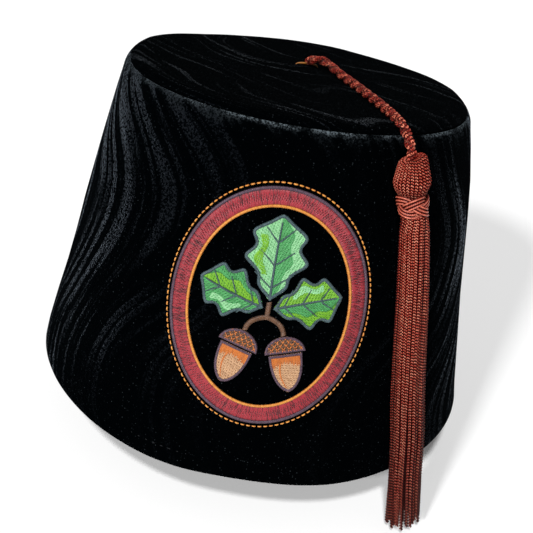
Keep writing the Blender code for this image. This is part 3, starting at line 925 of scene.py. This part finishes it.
def turnSide():
    sideAngle, wall, seam = pi / 2 - taper, crown["wall"], crown["seam"]
    hemMiddle = (crown["rimRadius"] - wall / 2 / cos(taper), wall / 2)
    hem = arc(hemMiddle, wall / 2, pi, sideAngle, 6)
    shoulder = arc(shoulderCentre, crown["shoulder"], sideAngle, seam + seamOpening, 6)
    outer = hem + straight(hem[-1], shoulder[0], 60)[1:-1] + shoulder + lip(1)
    innerShoulder = arc(shoulderCentre, crown["shoulder"] - wall, seam, sideAngle, 4)
    innerHem = arc(hemMiddle, wall / 2, sideAngle + pi, pi, 4)
    inner = innerShoulder + straight(innerShoulder[-1], innerHem[0], 24)[1:-1] + innerHem
    loop, inside = cleanLoop(outer, inner)
    slants = crown["rimRadius"] / sin(taper) - runLengths(loop)
    piece = turnedPiece("crown_side_velvet", loop, slants, inside, sin(taper), sideVelvet)
    finished(piece, "black_velvet", "crown_side")


def turnTop():
    wall, seam = crown["wall"], crown["seam"]
    shoulder = arc(shoulderCentre, crown["shoulder"], seam - seamOpening, 0, 8)
    outer = lip(-1)[::-1] + shoulder + straight(shoulder[-1], (0, crown["height"]), 30)[1:]
    innerShoulder = arc(shoulderCentre, crown["shoulder"] - wall, 0, seam, 4)
    inner = straight((0, crown["height"] - wall), innerShoulder[0], 12) + innerShoulder[1:]
    loop, inside = cleanLoop(outer, inner)
    run = runLengths(loop)
    slants = np.abs(run[np.argmin(loop[:, 0] + np.array(inside))] - run)
    piece = turnedPiece("crown_top_velvet", loop, slants, inside, 1.0, topVelvet)
    finished(piece, "black_velvet", "crown_top")


lining = liningFinish()
# the seam in mm from the middle of the flat cloth, and on the top too far out to show
sideVelvet = velvetFinish("sideVelvet", seamAt=377.4, turn=0.0, swing=-20.0, warp=20.0, bend=70.0, thin=0.0,
                          sheen=0.56, glow=(0.58, 0.68, 0.80, 1.0), paintedLight=1.0)
topVelvet = velvetFinish("topVelvet", seamAt=400.0, turn=radians(56), swing=8.0, warp=75.0, bend=48.0,
                         thin=0.09, sheen=0.115, glow=(0.62, 0.68, 0.74, 1.0), curl=0.5)
turnSide()
turnTop()
print("crown turned")


def sewHem():
    height, wall = crown["hemHeight"], crown["wall"]
    count = round(circle * crownRadius(height) / (crown["hemStitch"] + crown["hemGap"]))
    spots = []
    for lift, where in ((0.12 * mm, 1), (-wall - 0.1 * mm, -1)):
        for i in range(count):
            azimuth = circle * (i + 0.5) / count
            out = besideCrown(azimuth, height, 1) - besideCrown(azimuth, height, 0)
            spots.append((besideCrown(azimuth, height, lift), (cos(azimuth), sin(azimuth), 0), out * where,
                          (crown["hemStitch"], 1, 1), 0.0))
    piece = laidPiece("hem_stitches", spots, threads["hem"], 3, stitch, 0.42 * mm, 0.3 * mm, 0.1)
    ease(piece.data)
    finished(piece, "black_velvet")


sewHem()
print("hem sewn")


# ---- tassel: strands of fine chain, doubled over the head, tied, and hanging as the skirt

tassel.update({  # in mm
    # down the axis from the head's middle, and the radius there
    "headProfile": [(-5.3, 0.5), (-5.7, 1.4), (-6.6, 2.4), (-6.9, 3.4), (-6.1, 4.5), (-4.5, 5.1),
                    (-1.2, 5.85), (1.5, 6.4), (3.2, 6.2), (5.0, 5.5), (7.3, 4.4), (8.8, 4.1)],
    "headColumns": 27,
    "linkPitch": 1.13,
    "linkWidth": 1.58,  # of a link as it is modelled
    "tieRadius": 4.2,
    "tieEnd": 13.0,
    "strandStart": 13.6,
    "skirtStart": 15.9,
    "skirtEnd": 146.0,
    "skirtTopHalf": (6.15, 4.5),
    "skirtEndHalf": (8.0, 5.1),
    "freeing": 8.0,  # from the tie until a strand hangs free
    "swayStart": 20.0,
    "darkening": (25.0, 120.0),  # where the skirt begins to darken, and over how far
    # mm down the axis, and the length of a link of the skirt there
    "linkLengths": [(15, 1.08), (60, 1.19), (100, 1.30), (133, 1.41)],
    "outerStrands": 25,
    "innerStrands": 16,
    "innerStart": 106.0,
    "innerDepth": 2.6,
    "unevenEnds": 1.9,
    "strandCore": 0.38,
    # where the rings of the skirt's core are, and how far it lies inside the strands
    "coreRings": [13.0, 15.0, 18.0, 22.0, 40.0, 70.0, 100.0, 122.0, 134.0, 139.0, 141.0],
    "coreDepth": 1.35,
    "seed": 11,
})


def onHead(down, radius, turn):
    # the top is lower in front, where the cord comes in, and higher on the right
    front, right = max(cos(turn - tassel["face"]), 0.0), sin(tassel["face"] - turn)
    high = held((1.0 - down) / 7.0)
    radius *= 1.0 - 0.12 * front * high
    return hung(down + high * (front - 0.9 * right), radius * cos(turn), radius * sin(turn))


def coverHead():
    # the strands lie side by side over the ball, from the hollow where the cord goes in to the tie
    profile = smoothRoute([(radius, down, 0.0) for down, radius in tassel["headProfile"]], 0.1)
    run = runLengths(profile)
    rows = round(run[-1] / tassel["linkPitch"])

    def spot(at, turn):
        radius, down = (np.interp(at, run, profile[:, axis]) for axis in (0, 1))
        return radius, onHead(down, radius, turn)

    spots = []
    chance = np.random.default_rng(tassel["seed"])
    for column in range(tassel["headColumns"]):
        turn = circle * (column + 0.5) / tassel["headColumns"]
        phase = chance.uniform(0.0, 1.0)
        for row in range(rows):
            at = run[-1] * (row + phase) / rows
            radius, place = spot(at, turn)
            along = unit(spot(at + 0.3, turn)[1] - spot(at - 0.3, turn)[1])
            sideways = spot(at, turn + 0.1)[1] - spot(at, turn - 0.1)[1]
            facing = unit(np.cross(sideways, along))
            width = max(0.5, circle * radius / tassel["headColumns"] / tassel["linkWidth"])
            # painted shade in the hollow, and down towards the tie
            shade = 0.4 * max(1 - at / 3.5, 0.0) + 0.75 * held((at - run[-1] + 6.5) / 6.0)
            spots.append((place - facing * 0.12 * mm, along, facing, (1.0, width, 1.15), shade))
    chains = laidPiece("tassel_head_chains", spots, rustYarn, 5, links["faced"], uneven=0.06)
    # the head's core under the strands, dark as painted shade between them
    rings = [[onHead(down, radius - 0.25, t) for t in np.linspace(0, circle, 33)[:-1]]
             for down, radius in tassel["headProfile"]]
    head = joinPieces("tassel_head", [chains, closedLoft("tassel_head_core", rings, paintedShadeCore)])
    finished(head, "rust_yarn", "tassel")


def skirtHalf(down):
    part = (down - tassel["skirtStart"]) / (tassel["skirtEnd"] - tassel["skirtStart"])
    widen = sin(held(part) * pi / 2) ** 0.7
    return [top + (end - top) * widen for top, end in zip(tassel["skirtTopHalf"], tassel["skirtEndHalf"])]


def strandSpots(turn, depth, end, start, phase, lean, heading, wide=1.0, tight=1.0, extraShade=0.0):
    # links from the tie down to the free end; each strand turns slowly on itself
    def middle(down):
        tie = tassel["tieRadius"]
        across, out = skirtHalf(down)
        freed = held((down - tassel["tieEnd"]) / tassel["freeing"])
        freed = freed * freed * (3 - 2 * freed)
        across = tie + (across - depth - tie) * freed
        out = tie + (out - depth * 0.85 - tie) * freed
        part = max(down - tassel["swayStart"], 0.0) / (tassel["skirtEnd"] - tassel["swayStart"])
        # it sways to the side and out, and ends on the right flare away
        sway = 0.3 * part * sin(part * 5.5 + phase) + 0.10 * sin(down * 0.11 + phase * 3)
        swell = 0.2 * sin(down * 0.09 + phase * 2) * part
        flare = 0.9 * max(part - 0.85, 0.0) / 0.15 * max(sin(turn - tassel["face"]), 0.0) ** 4
        return hung(down, (across + flare) * cos(turn) + sway, (out + flare) * sin(turn) + swell)

    spots, down = [], start
    darkStart, darkLength = tassel["darkening"]
    while down < end:
        here, left = middle(down), end - down
        along = unit(middle(down + 0.5) - here) * heading
        face = turn + lean + 0.5 * sin(down * 0.022 + phase * 1.7)
        facing = tasselAcross * cos(face) + tasselOut * sin(face)
        narrow = 1.0 if left > 2.0 else 0.8 + 0.1 * left
        shade = held((down - darkStart) / darkLength) ** 1.3 * 0.50 + 0.1 * max(1 - left / 6.0, 0.0) + extraShade
        spots.append((here, along, facing, (1.08, narrow * wide, 1.0), shade))
        down += readTable(tassel["linkLengths"], down) * tight
    return spots


def outerStrand(i, chance):
    # one strand of the skirt, and the group that it belongs to
    turn = circle * (i + 0.5 + chance.uniform(-0.06, 0.06)) / tassel["outerStrands"]
    end = tassel["skirtEnd"] + tassel["unevenEnds"] * sin(2.4 * i + 0.6) * chance.uniform(0.5, 1.0)
    # the flat side of most strands is seen square on from in front of the tassel
    aside = remainder(turn - tassel["face"], circle)
    lean = chance.choice([-0.4, -0.3, -0.1, 0.0, 0.0, 0.2, 0.4]) * (abs(aside) < 0.9)
    lean += chance.uniform(-0.15, 0.15)
    lean -= aside * 0.95 if abs(aside) < 1.9 else 0.0
    heading = chance.choice([-1, 1])  # the strands are doubled over the head, so half of them run upward
    # some lie deeper than their neighbours and get painted shade for it, as do the strands turned to the
    # sides
    depth = chance.uniform(0.65, 1.45)
    extraShade = 0.2 * (depth - 0.65) + 0.4 * max(abs(aside) - 1.0, 0.0)
    group = "far" if abs(aside) > 1.4 else chance.choice(["near", "turned"])
    start, phase = tassel["strandStart"] + chance.uniform(-0.5, 0.6), chance.uniform(0, 6.3)
    wide, tight = chance.uniform(0.84, 0.99) * (0.9 + 0.2 * max(cos(aside), 0.0)), chance.uniform(0.93, 1.05)
    return group, strandSpots(turn, depth, end, start, phase, lean, heading, wide, tight, extraShade)


def innerStrand(i, chance):
    turn = circle * (i + 0.3) / tassel["innerStrands"]
    end = tassel["skirtEnd"] - 1.0 + 3.0 * sin(1.9 * i)
    phase, lean = chance.uniform(0, 6.3), chance.uniform(-1.5, 1.5)
    return strandSpots(turn, tassel["innerDepth"], end, tassel["innerStart"], phase, lean, 1)


def hangSkirt():
    chance = np.random.default_rng(tassel["seed"])
    strands = {"near": [], "turned": [], "far": [], "deep": []}
    for i in range(tassel["outerStrands"]):
        group, strand = outerStrand(i, chance)
        strands[group].append(strand)
    strands["deep"] = [innerStrand(i, chance) for i in range(tassel["innerStrands"])]
    for seed, (group, lines) in enumerate(strands.items(), 21):
        name = "tassel_skirt_" + group
        link = links[{"turned": "turned", "far": "faced"}.get(group, "chain")]
        chains = laidPiece(name, sum(lines, []), rustYarn, seed, link)
        # a dark core along each strand, painted shade seen between its links
        cores = Bundle()
        for line in lines:
            cores.tube([spot[0] for spot in line[:-1:2] + line[-1:]], tassel["strandCore"] * mm, 5)
        finished(joinPieces(name, [chains, cores.piece(name + "_core", paintedShadeCore)]), "rust_yarn", "tassel")
    # the skirt's inner mass, dark as painted shade between the strands
    rings = []
    for down in tassel["coreRings"]:
        across, out = (half - tassel["coreDepth"] for half in skirtHalf(down))
        if down < 18.0:
            across, out = 3.9, 3.4
        share = (141.5 - down) / 3.5 if down > 134.0 else 1.0
        rings.append([hung(down, across * share * cos(t), out * share * sin(t))
                      for t in np.linspace(0, circle, 25)[:-1]])
    finished(closedLoft("tassel_skirt_core", rings, paintedShadeCore), "rust_yarn", "tassel")


knot = {
    "middle": 10.4,
    "radius": 4.75,
    "wave": 2.35,  # mm up and down from the middle of the band
    "weave": 0.6,
    "leads": 3,
    "bights": 4,
    "turn": radians(-26.0),
    "strands": 3,
    "strandRadius": 0.56,
    "steps": 420,
}


def tieKnot():
    # three cords side by side run three times round the neck, over and under each other
    theta = np.linspace(0, circle * knot["leads"], knot["steps"], endpoint=False)
    swing = knot["bights"] * theta / knot["leads"]
    slope = knot["wave"] * knot["bights"] / knot["leads"] * np.cos(swing) / knot["radius"]
    steep = np.sqrt(1 + slope**2)
    bundle = Bundle()
    for strand in range(knot["strands"]):
        off = (strand - (knot["strands"] - 1) / 2) * 2 * knot["strandRadius"] * 1.02
        down = knot["middle"] + (knot["wave"] * np.sin(swing) + off / steep)
        around = theta - off * slope / steep / knot["radius"] + knot["turn"]
        radius = knot["radius"] - knot["weave"] * np.sin(2 * swing) + 0.1 * np.cos(off)
        outward = [tasselAcross * cos(a) + tasselOut * sin(a) for a in around]
        points = [hung(d, r * cos(a), r * sin(a)) for d, r, a in zip(down, radius, around)]
        bundle.tube(points, knot["strandRadius"] * 0.88 * mm, 8, closed=True, outward=outward)
    finished(bundle.piece("tassel_knot_cords", rustGimp), "rust_yarn", "tassel_knot")


coverHead()
hangSkirt()
tieKnot()
print("tassel hung")


# ---- emblem, drawn flat in mm, then wrapped round the cone

emblem = {
    "azimuth": radians(1.8),
    "height": 68.2 * mm,
    "spacing": 0.40,  # between rows of stitches
    "fillStitch": 3.0,
    "threadWidth": 0.46 * mm,
    "threadThickness": 0.30 * mm,
    "fillLift": 0.72,
    "satinLift": 0.92,
    "bedLift": 0.55,
    "outline": 1.25,
    "ringHalf": (37.0, 45.0),
    "ringBand": 7.6,
    "ringLining": 1.1,
    "dash": (1.65, 0.5),  # and the gap after it
    "dashOut": 1.3,
    "leaves": [  # ending, foot, direction, length, width, and the thread of each area
        ("top", (0.0, 3.3), 90, 32.0, 24.0, "lightGreen", "midGreen", "yellowGreen"),
        ("left", (-1.8, 0.4), 163, 25.5, 21.0, "midGreen", "yellowGreen", "lightGreen"),
        ("right", (1.8, 0.4), 17, 25.5, 21.0, "yellowGreen", "midGreen", "lightGreen"),
    ],
    # side veins: the share of the leaf's length where each starts, and its side
    "veins": [(0.14, 1), (0.16, -1), (0.40, 1), (0.42, -1), (0.66, 1), (0.68, -1)],
    "acorns": [("left", (-8.8, -15.6), 255), ("right", (8.8, -15.6), 285)],
    "acornStart": 0.6,
    "acornLength": 15.5,
    "acornHalfWidth": 6.2,
    "capHalfWidth": 7.5,
    "capHeight": 6.4,
    "stemHalfWidth": 1.0,
    "stemTop": 2.6,
    "stemArm": [(0.0, -3.0), (6.4, -4.4), (7.0, -8.9)],
}
slots = {
    "maroon": "maroon_thread", "aubergine": "maroon_thread", "gold": "gold_brown_thread",
    "orange": "gold_brown_thread", "tan": "tan_thread", "brown": "brown_thread",
    "teal": "mid_green_thread", "lightGreen": "light_green_thread", "midGreen": "mid_green_thread",
    "yellowGreen": "yellow_green_thread",
}


def onEmblem(across, up, lift):
    # rolls the flat drawing round the cone without stretching it
    across, up = across * mm, up * mm
    slant = crownRadius(emblem["height"]) / sin(taper)
    reach = hypot(across, slant - up)
    azimuth = emblem["azimuth"] + atan2(across, slant - up) / sin(taper)
    return besideCrown(azimuth, emblem["height"] + (slant - reach) * cos(taper), lift * mm)


def turned(points, degrees, foot=(0, 0)):
    turn = radians(degrees)
    return [(x * cos(turn) - y * sin(turn) + foot[0], x * sin(turn) + y * cos(turn) + foot[1])
            for x, y in points]


def ellipse(across, up, steps=240):
    return [(across * cos(t), up * sin(t)) for t in np.linspace(0, circle, steps + 1)[:-1]]


def golden(i):
    # spreads ends evenly over the rows, from 0 to 1
    return i * 0.381966 % 1.0


def sew(name, stitches, thread, seed, nodes=(), beds=(), width=1.0, thickness=1.0):
    # stitches are (middle, direction, length, lift) on the flat drawing
    spots = []
    for (x, y), (headingX, headingY), length, lift in stitches:
        here = onEmblem(x, y, lift)
        along = onEmblem(x + headingX, y + headingY, lift) - onEmblem(x - headingX, y - headingY, lift)
        spots.append((here, along.normalized(), onEmblem(x, y, lift + 1) - here, (length * mm, 1, 1), 0.0))
    piece = laidPiece(name, spots, threads[thread], seed, stitch, emblem["threadWidth"] * width,
                      emblem["threadThickness"] * thickness, 0.12)
    if beds:
        piece = joinPieces(name, [piece, *beds])
    return finished(piece, slots[thread], *nodes)


def crossings(outline, level):
    found = []
    for (ax, ay), (bx, by) in zip(outline, outline[1:] + outline[:1]):
        if (ay > level) != (by > level):
            found.append(ax + (bx - ax) * (level - ay) / (by - ay))
    found.sort()
    return list(zip(found[::2], found[1::2]))


def fillStitches(outline, degrees, lift=emblem["fillLift"], length=emblem["fillStitch"], inset=0.1):
    # rows of staggered stitches that cover an outline
    flat = turned(outline, -degrees)
    heading, = turned([(1.0, 0.0)], degrees)
    low, high = min(y for x, y in flat), max(y for x, y in flat)
    stitches, row, level = [], 0, low + emblem["spacing"] / 2
    while level < high:
        for start, end in crossings(flat, level):
            start, end = start + inset, end - inset
            if end - start < 0.35:
                continue
            phase = golden(row) * length
            cut = (start - phase) // length * length + phase
            cuts = [start]
            while cut < end:
                if cut - start > 0.7 and end - cut > 0.7:
                    cuts.append(cut)
                cut += length
            for a, b in zip(cuts, [*cuts[1:], end]):
                middle, = turned([((a + b) / 2, level)], degrees)
                stitches.append((middle, heading, b - a + 0.12, lift))
        row, level = row + 1, level + emblem["spacing"]
    return stitches


def alongPath(path, spacing, closed):
    # evenly spaced points on a path, and which way it runs at each
    flat = evenly(path + path[:1] if closed else path, spacing)
    if closed:
        flat = flat[:-1]
        area = sum(ax * by - bx * ay for (ax, ay), (bx, by) in zip(flat, np.roll(flat, -1, 0)))
        flat = flat[::-1] if area < 0 else flat
    return list(zip(flat, headings(flat, closed)))


def satinStitches(path, width, lift=emblem["satinLift"], closed=False, inset=0.0, slant=12.0):
    # stitches across a path; inset 0.5 keeps their outer ends on it, and 0 centres them
    stitches, turn = [], radians(slant)
    flat = alongPath(path, emblem["spacing"] * 0.95, closed)
    for i, ((x, y), (headingX, headingY)) in enumerate(flat):
        size = hypot(headingX, headingY)
        inwardX, inwardY = -headingY / size, headingX / size
        wide = width(i / max(len(flat) - 1, 1)) if callable(width) else width
        middle = (x + inwardX * wide * inset, y + inwardY * wide * inset)
        heading = (inwardX * cos(turn) - inwardY * sin(turn), inwardX * sin(turn) + inwardY * cos(turn))
        stitches.append((middle, heading, wide * 1.04, lift))
    return stitches


def runningStitches(path, length, gap, lift, closed=False):
    return [(spot, unit(heading), length, lift) for spot, heading in alongPath(path, length + gap, closed)]


def bed(name, outline, thread, lift=emblem["bedLift"], step=3.5):
    # a raised bed under the stitches, wrapped with the drawing
    bm = bmesh.new()
    bm.faces.new([bm.verts.new((x, y, 0)) for x, y in outline])
    left, right = min(x for x, y in outline), max(x for x, y in outline)
    cuts = int((right - left) / step)
    for i in range(cuts):
        x = left + (right - left) * (i + 1) / (cuts + 1)
        bmesh.ops.bisect_plane(bm, geom=bm.verts[:] + bm.edges[:] + bm.faces[:], dist=1e-5,
                               plane_co=(x, 0, 0), plane_no=(1, 0, 0))
    bmesh.ops.triangulate(bm, faces=bm.faces)
    raised = bmesh.ops.extrude_face_region(bm, geom=bm.faces[:])
    for vert in [item for item in raised["geom"] if isinstance(item, bmesh.types.BMVert)]:
        vert.co.z = 1
    for vert in bm.verts:
        vert.co = onEmblem(vert.co.x, vert.co.y, lift if vert.co.z > 0.5 else 0.05)
    bmesh.ops.recalc_face_normals(bm, faces=bm.faces)
    layer = bm.loops.layers.uv.new("threadUv")
    for face in bm.faces:
        for loop in face.loops:
            loop[layer].uv = (0.5, 0.5)
    mesh = bpy.data.meshes.new(name)
    bm.to_mesh(mesh)
    bm.free()
    mesh.materials.append(threads[thread])
    return placed(name, mesh)


def ringBed(steps=160):
    across, up = emblem["ringHalf"]
    band, places = emblem["ringBand"], []
    for t in np.linspace(0, circle, steps + 1)[:-1]:
        for inset, lift in ((0.35, 0.05), (0.6, 0.6), (band - 0.6, 0.6), (band - 0.35, 0.05)):
            places.append(onEmblem((across - inset) * cos(t), (up - inset) * sin(t), lift))
    faces, _ = skin(steps, 4, [0.0] * (steps + 1), True)
    return addPiece("ring_bed", places, faces, threads["maroon"])


def sewRing():
    across, up = emblem["ringHalf"]
    band, edge, lift = emblem["ringBand"], emblem["outline"], emblem["satinLift"]
    start, width = edge - 0.25, emblem["ringBand"] - edge - emblem["ringLining"] + 0.5
    rows = round(circle * sqrt((across**2 + up**2) / 2) / emblem["spacing"])
    stitches = []
    for row in range(rows):
        t = circle * row / rows
        heading = unit((cos(t) / across, sin(t) / up))
        split = start + width * (0.28 + 0.44 * golden(row))
        for a, b in ((start, split), (split, start + width)):
            off = (a + b) / 2
            middle = (across * cos(t) - heading[0] * off, up * sin(t) - heading[1] * off)
            stitches.append((middle, heading, b - a + 0.1, emblem["fillLift"]))
    sew("emblem_ring_fill", stitches, "maroon", 31, ["emblem_ring"], [ringBed()])
    line = satinStitches(ellipse(across, up), edge, lift, True, 0.5)
    sew("emblem_ring_edge", line, "aubergine", 32, thickness=1.5)
    line = satinStitches(ellipse(across - band, up - band), emblem["ringLining"], lift - 0.05, True, -0.5)
    sew("emblem_ring_lining", line, "gold", 33, thickness=1.4)
    out = emblem["dashOut"]
    dashes = runningStitches(ellipse(across + out, up + out), *emblem["dash"], 0.42, True)
    sew("emblem_running_stitch", dashes, "gold", 34, width=1.35, thickness=1.5)


def leafEdge(length, width, steps=48):
    # half of a lobed blade along +X, from stalk to tip
    upper = [(0.0, 0.0)]
    for i in range(1, steps):
        t = i / steps
        body = sin(pi * t**1.25) ** 0.7
        lobes = 1.0 - 0.30 * (0.5 + 0.5 * cos(circle * (3.0 * t + 0.12)))
        upper.append((length * t, width / 2 * body * lobes))
    return upper + [(length, 0.0)]


def sewLeaf(ending, foot, direction, length, width, main, second, third, seed):
    name, lift, satin = "emblem_leaf_" + ending, emblem["fillLift"], emblem["satinLift"]
    edge = leafEdge(length, width)
    whole = edge + [(x, -y) for x, y in edge[-2:0:-1]]

    def filled(edge, side, low, high, *more):
        # the part of a half blade between two shares of its width
        area = [(x, side * y * high) for x, y in edge] + [(x, side * y * low) for x, y in edge[::-1]]
        return fillStitches(turned(area, direction, foot), direction + 38 * side, *more)

    under = bed(f"leaf_{ending}_bed", turned([(0.4 + x * 0.97, y * 0.94) for x, y in whole], direction, foot),
                main)
    sew(name + "_fill", filled(edge, 1, 0.0, 0.97) + filled(edge, -1, 0.5, 0.97), main, seed, [name], [under])
    sew(name + "_shade", filled(edge, -1, 0.0, 0.5), second, seed + 1)
    sew(name + "_glint", filled(edge[14:-12], 1, 0.42, 0.72, lift + 0.16, 2.0), third, seed + 2)
    line = satinStitches(turned(whole, direction, foot), emblem["outline"], satin + 0.08, True, 0.5)
    rib = [(x, 0.4 * sin(x / length * pi)) for x in np.linspace(0.5, length * 0.9, 30)]
    line += satinStitches(turned(rib, direction, foot), lambda part: 1.15 - 0.6 * part, satin + 0.05)
    for start, side in emblem["veins"]:
        vein = [(length * (start + 0.21 * s), side * width * 0.36 * s * (1.05 - 0.5 * start))
                for s in np.linspace(0.06, 0.8, 12)]
        line += satinStitches(turned(vein, direction, foot), lambda part: 0.72 - 0.3 * part, satin + 0.02,
                              slant=30.0)
    sew(name + "_lines", line, "teal", seed + 3, thickness=1.4)


def sewAcorn(ending, foot, direction, seed):
    name, capName, lift = "emblem_acorn_" + ending, "emblem_acorn_cap_" + ending, emblem["fillLift"]
    start, long, half = (emblem["acorn" + part] for part in ("Start", "Length", "HalfWidth"))
    cap, capHalf = emblem["capHeight"], emblem["capHalfWidth"]
    upper = [(start + (long - start) * t, half * (1 - t**2.6) ** 0.62) for t in np.linspace(0, 1, 25)[:-1]]
    nut = upper + [(long, 0.0)] + [(x, -y) for x, y in upper[::-1]]
    dome = [(cap * cos(t), capHalf * sin(t)) for t in np.linspace(pi / 2, pi * 1.5, 25)]

    def laid(points, across=1.0, along=1.0, shift=0.0):
        return turned([(shift + x * along, y * across) for x, y in points], direction, foot)

    under = bed(f"acorn_{ending}_bed", laid(nut, 0.93, 0.95, 0.5), "tan")
    sew(name + "_fill", fillStitches(laid(nut, 0.95), direction + 62), "tan", seed, [name], [under])
    # long and short stitches shade the nut below its cap and down one side
    band = []
    heading, = turned([(1.0, 0.0)], direction)
    for i, y in enumerate(np.arange(-half + 0.5, half - 0.4, emblem["spacing"])):
        reach = 3.0 + 1.5 * (i * 0.618 % 1.0) + 3.2 * (y / half) ** 2
        band.append((laid([(start + reach / 2, y)])[0], heading, reach, lift + 0.14))
    rib = [(x, -half * 0.42 * sin(pi * (x / long) ** 0.9)) for x in np.linspace(4.0, 13.6, 20)]
    band += satinStitches(laid(rib), lambda part: 0.9 - 0.5 * part, lift + 0.14)
    sew(name + "_band", band, "orange", seed + 1)
    under = bed(f"acorn_cap_{ending}_bed", laid(dome, 0.94, 0.93, -0.1), "brown", 0.6)
    sew(capName + "_fill", fillStitches(laid(dome), direction + 90, lift + 0.06, 2.2), "brown", seed + 2,
        [capName], [under])
    lattice = []
    for angle in (38, -38):
        for level in np.arange(-8.0, 9.0, 1.7):
            for a, b in crossings(turned(dome, -angle), level):
                if b - a > 2.4:
                    line = turned([(a + 0.9, level), (b - 0.9, level)], angle)
                    lattice += runningStitches(laid(line), 1.25, 0.25, lift + 0.27)
    sew(capName + "_lattice", lattice, "orange", seed + 3, width=0.9)
    line = satinStitches(laid(nut), emblem["outline"] * 0.85, emblem["satinLift"] + 0.06, True, 0.5)
    line += satinStitches(laid(dome), emblem["outline"] * 0.85, emblem["satinLift"] + 0.12, True, 0.5)
    sew(name + "_line", line, "aubergine", seed + 4, thickness=1.4)


def sewStem():
    start, bend, end = (np.array(p) for p in emblem["stemArm"])
    arm = [tuple((start + (bend - start) * t) * (1 - t) + (bend + (end - bend) * t) * t)
           for t in np.linspace(0, 1, 24)]
    stitches = []
    for path in ([(0.0, emblem["stemTop"]), (0.0, start[1] - 0.6)], arm, [(-x, y) for x, y in arm]):
        stitches += satinStitches(path, 2 * emblem["stemHalfWidth"], slant=20.0)
    sew("emblem_stem_satin", stitches, "brown", 71, ["emblem_stem"], thickness=1.6)


sewRing()
for order, leaf in enumerate(emblem["leaves"]):
    sewLeaf(*leaf, 40 + 4 * order)
for order, acorn in enumerate(emblem["acorns"]):
    sewAcorn(*acorn, 54 + 5 * order)
sewStem()
print("emblem sewn")

for shape in (stitch, *links.values()):
    bpy.data.objects.remove(shape)


# ---- plain pale floor and soft light

stage = {
    "floorSize": 8.0,
    "floorDrop": 1.0 * mm,
    "floorColour": (0.92, 0.92, 0.92, 1.0),
    "floorGlow": 0.08,
    "white": (1.0, 1.0, 1.0, 1.0),
    "sky": 0.2,
    # where each lamp is, its strength and how soft its shadows are
    "lamps": {"high": ((-0.18, -0.80, 1.0), 2.15, radians(5)), "low": ((-0.95, -1.7, 1.0), 2.5, radians(6))},
}


def layFloor():
    low = min(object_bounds()[0][2], cadBox[0][2]) - stage["floorDrop"]
    half = stage["floorSize"] / 2
    mesh = bpy.data.meshes.new("floor")
    mesh.from_pydata([(-half, -half, low), (half, -half, low), (half, half, low), (-half, half, low)], [],
                     [(0, 1, 2, 3)])
    material, graph = newMaterial("palePaper")
    mesh.materials.append(closeMaterial(material, graph, {
        "Base Color": stage["floorColour"], "Roughness": 1.0, "Specular IOR Level": 0.0,
        "Emission Color": stage["white"], "Emission Strength": stage["floorGlow"]}, stage["floorColour"]))
    placed("floor", mesh)


def lightStage():
    world = bpy.data.worlds.new("studio")
    world.use_nodes = True
    sky = world.node_tree.nodes["Background"].inputs
    sky["Color"].default_value, sky["Strength"].default_value = stage["white"], stage["sky"]
    bpy.context.scene.world = world
    for name, (place, strength, softness) in stage["lamps"].items():
        lamp = bpy.data.lights.new(name, "SUN")
        lamp.energy, lamp.angle = strength, softness
        placed(name, lamp).rotation_euler = Vector(place).to_track_quat("Z", "Y").to_euler()
    bpy.context.scene.view_settings.view_transform = "Standard"


layFloor()
lightStage()
print("stage lit")
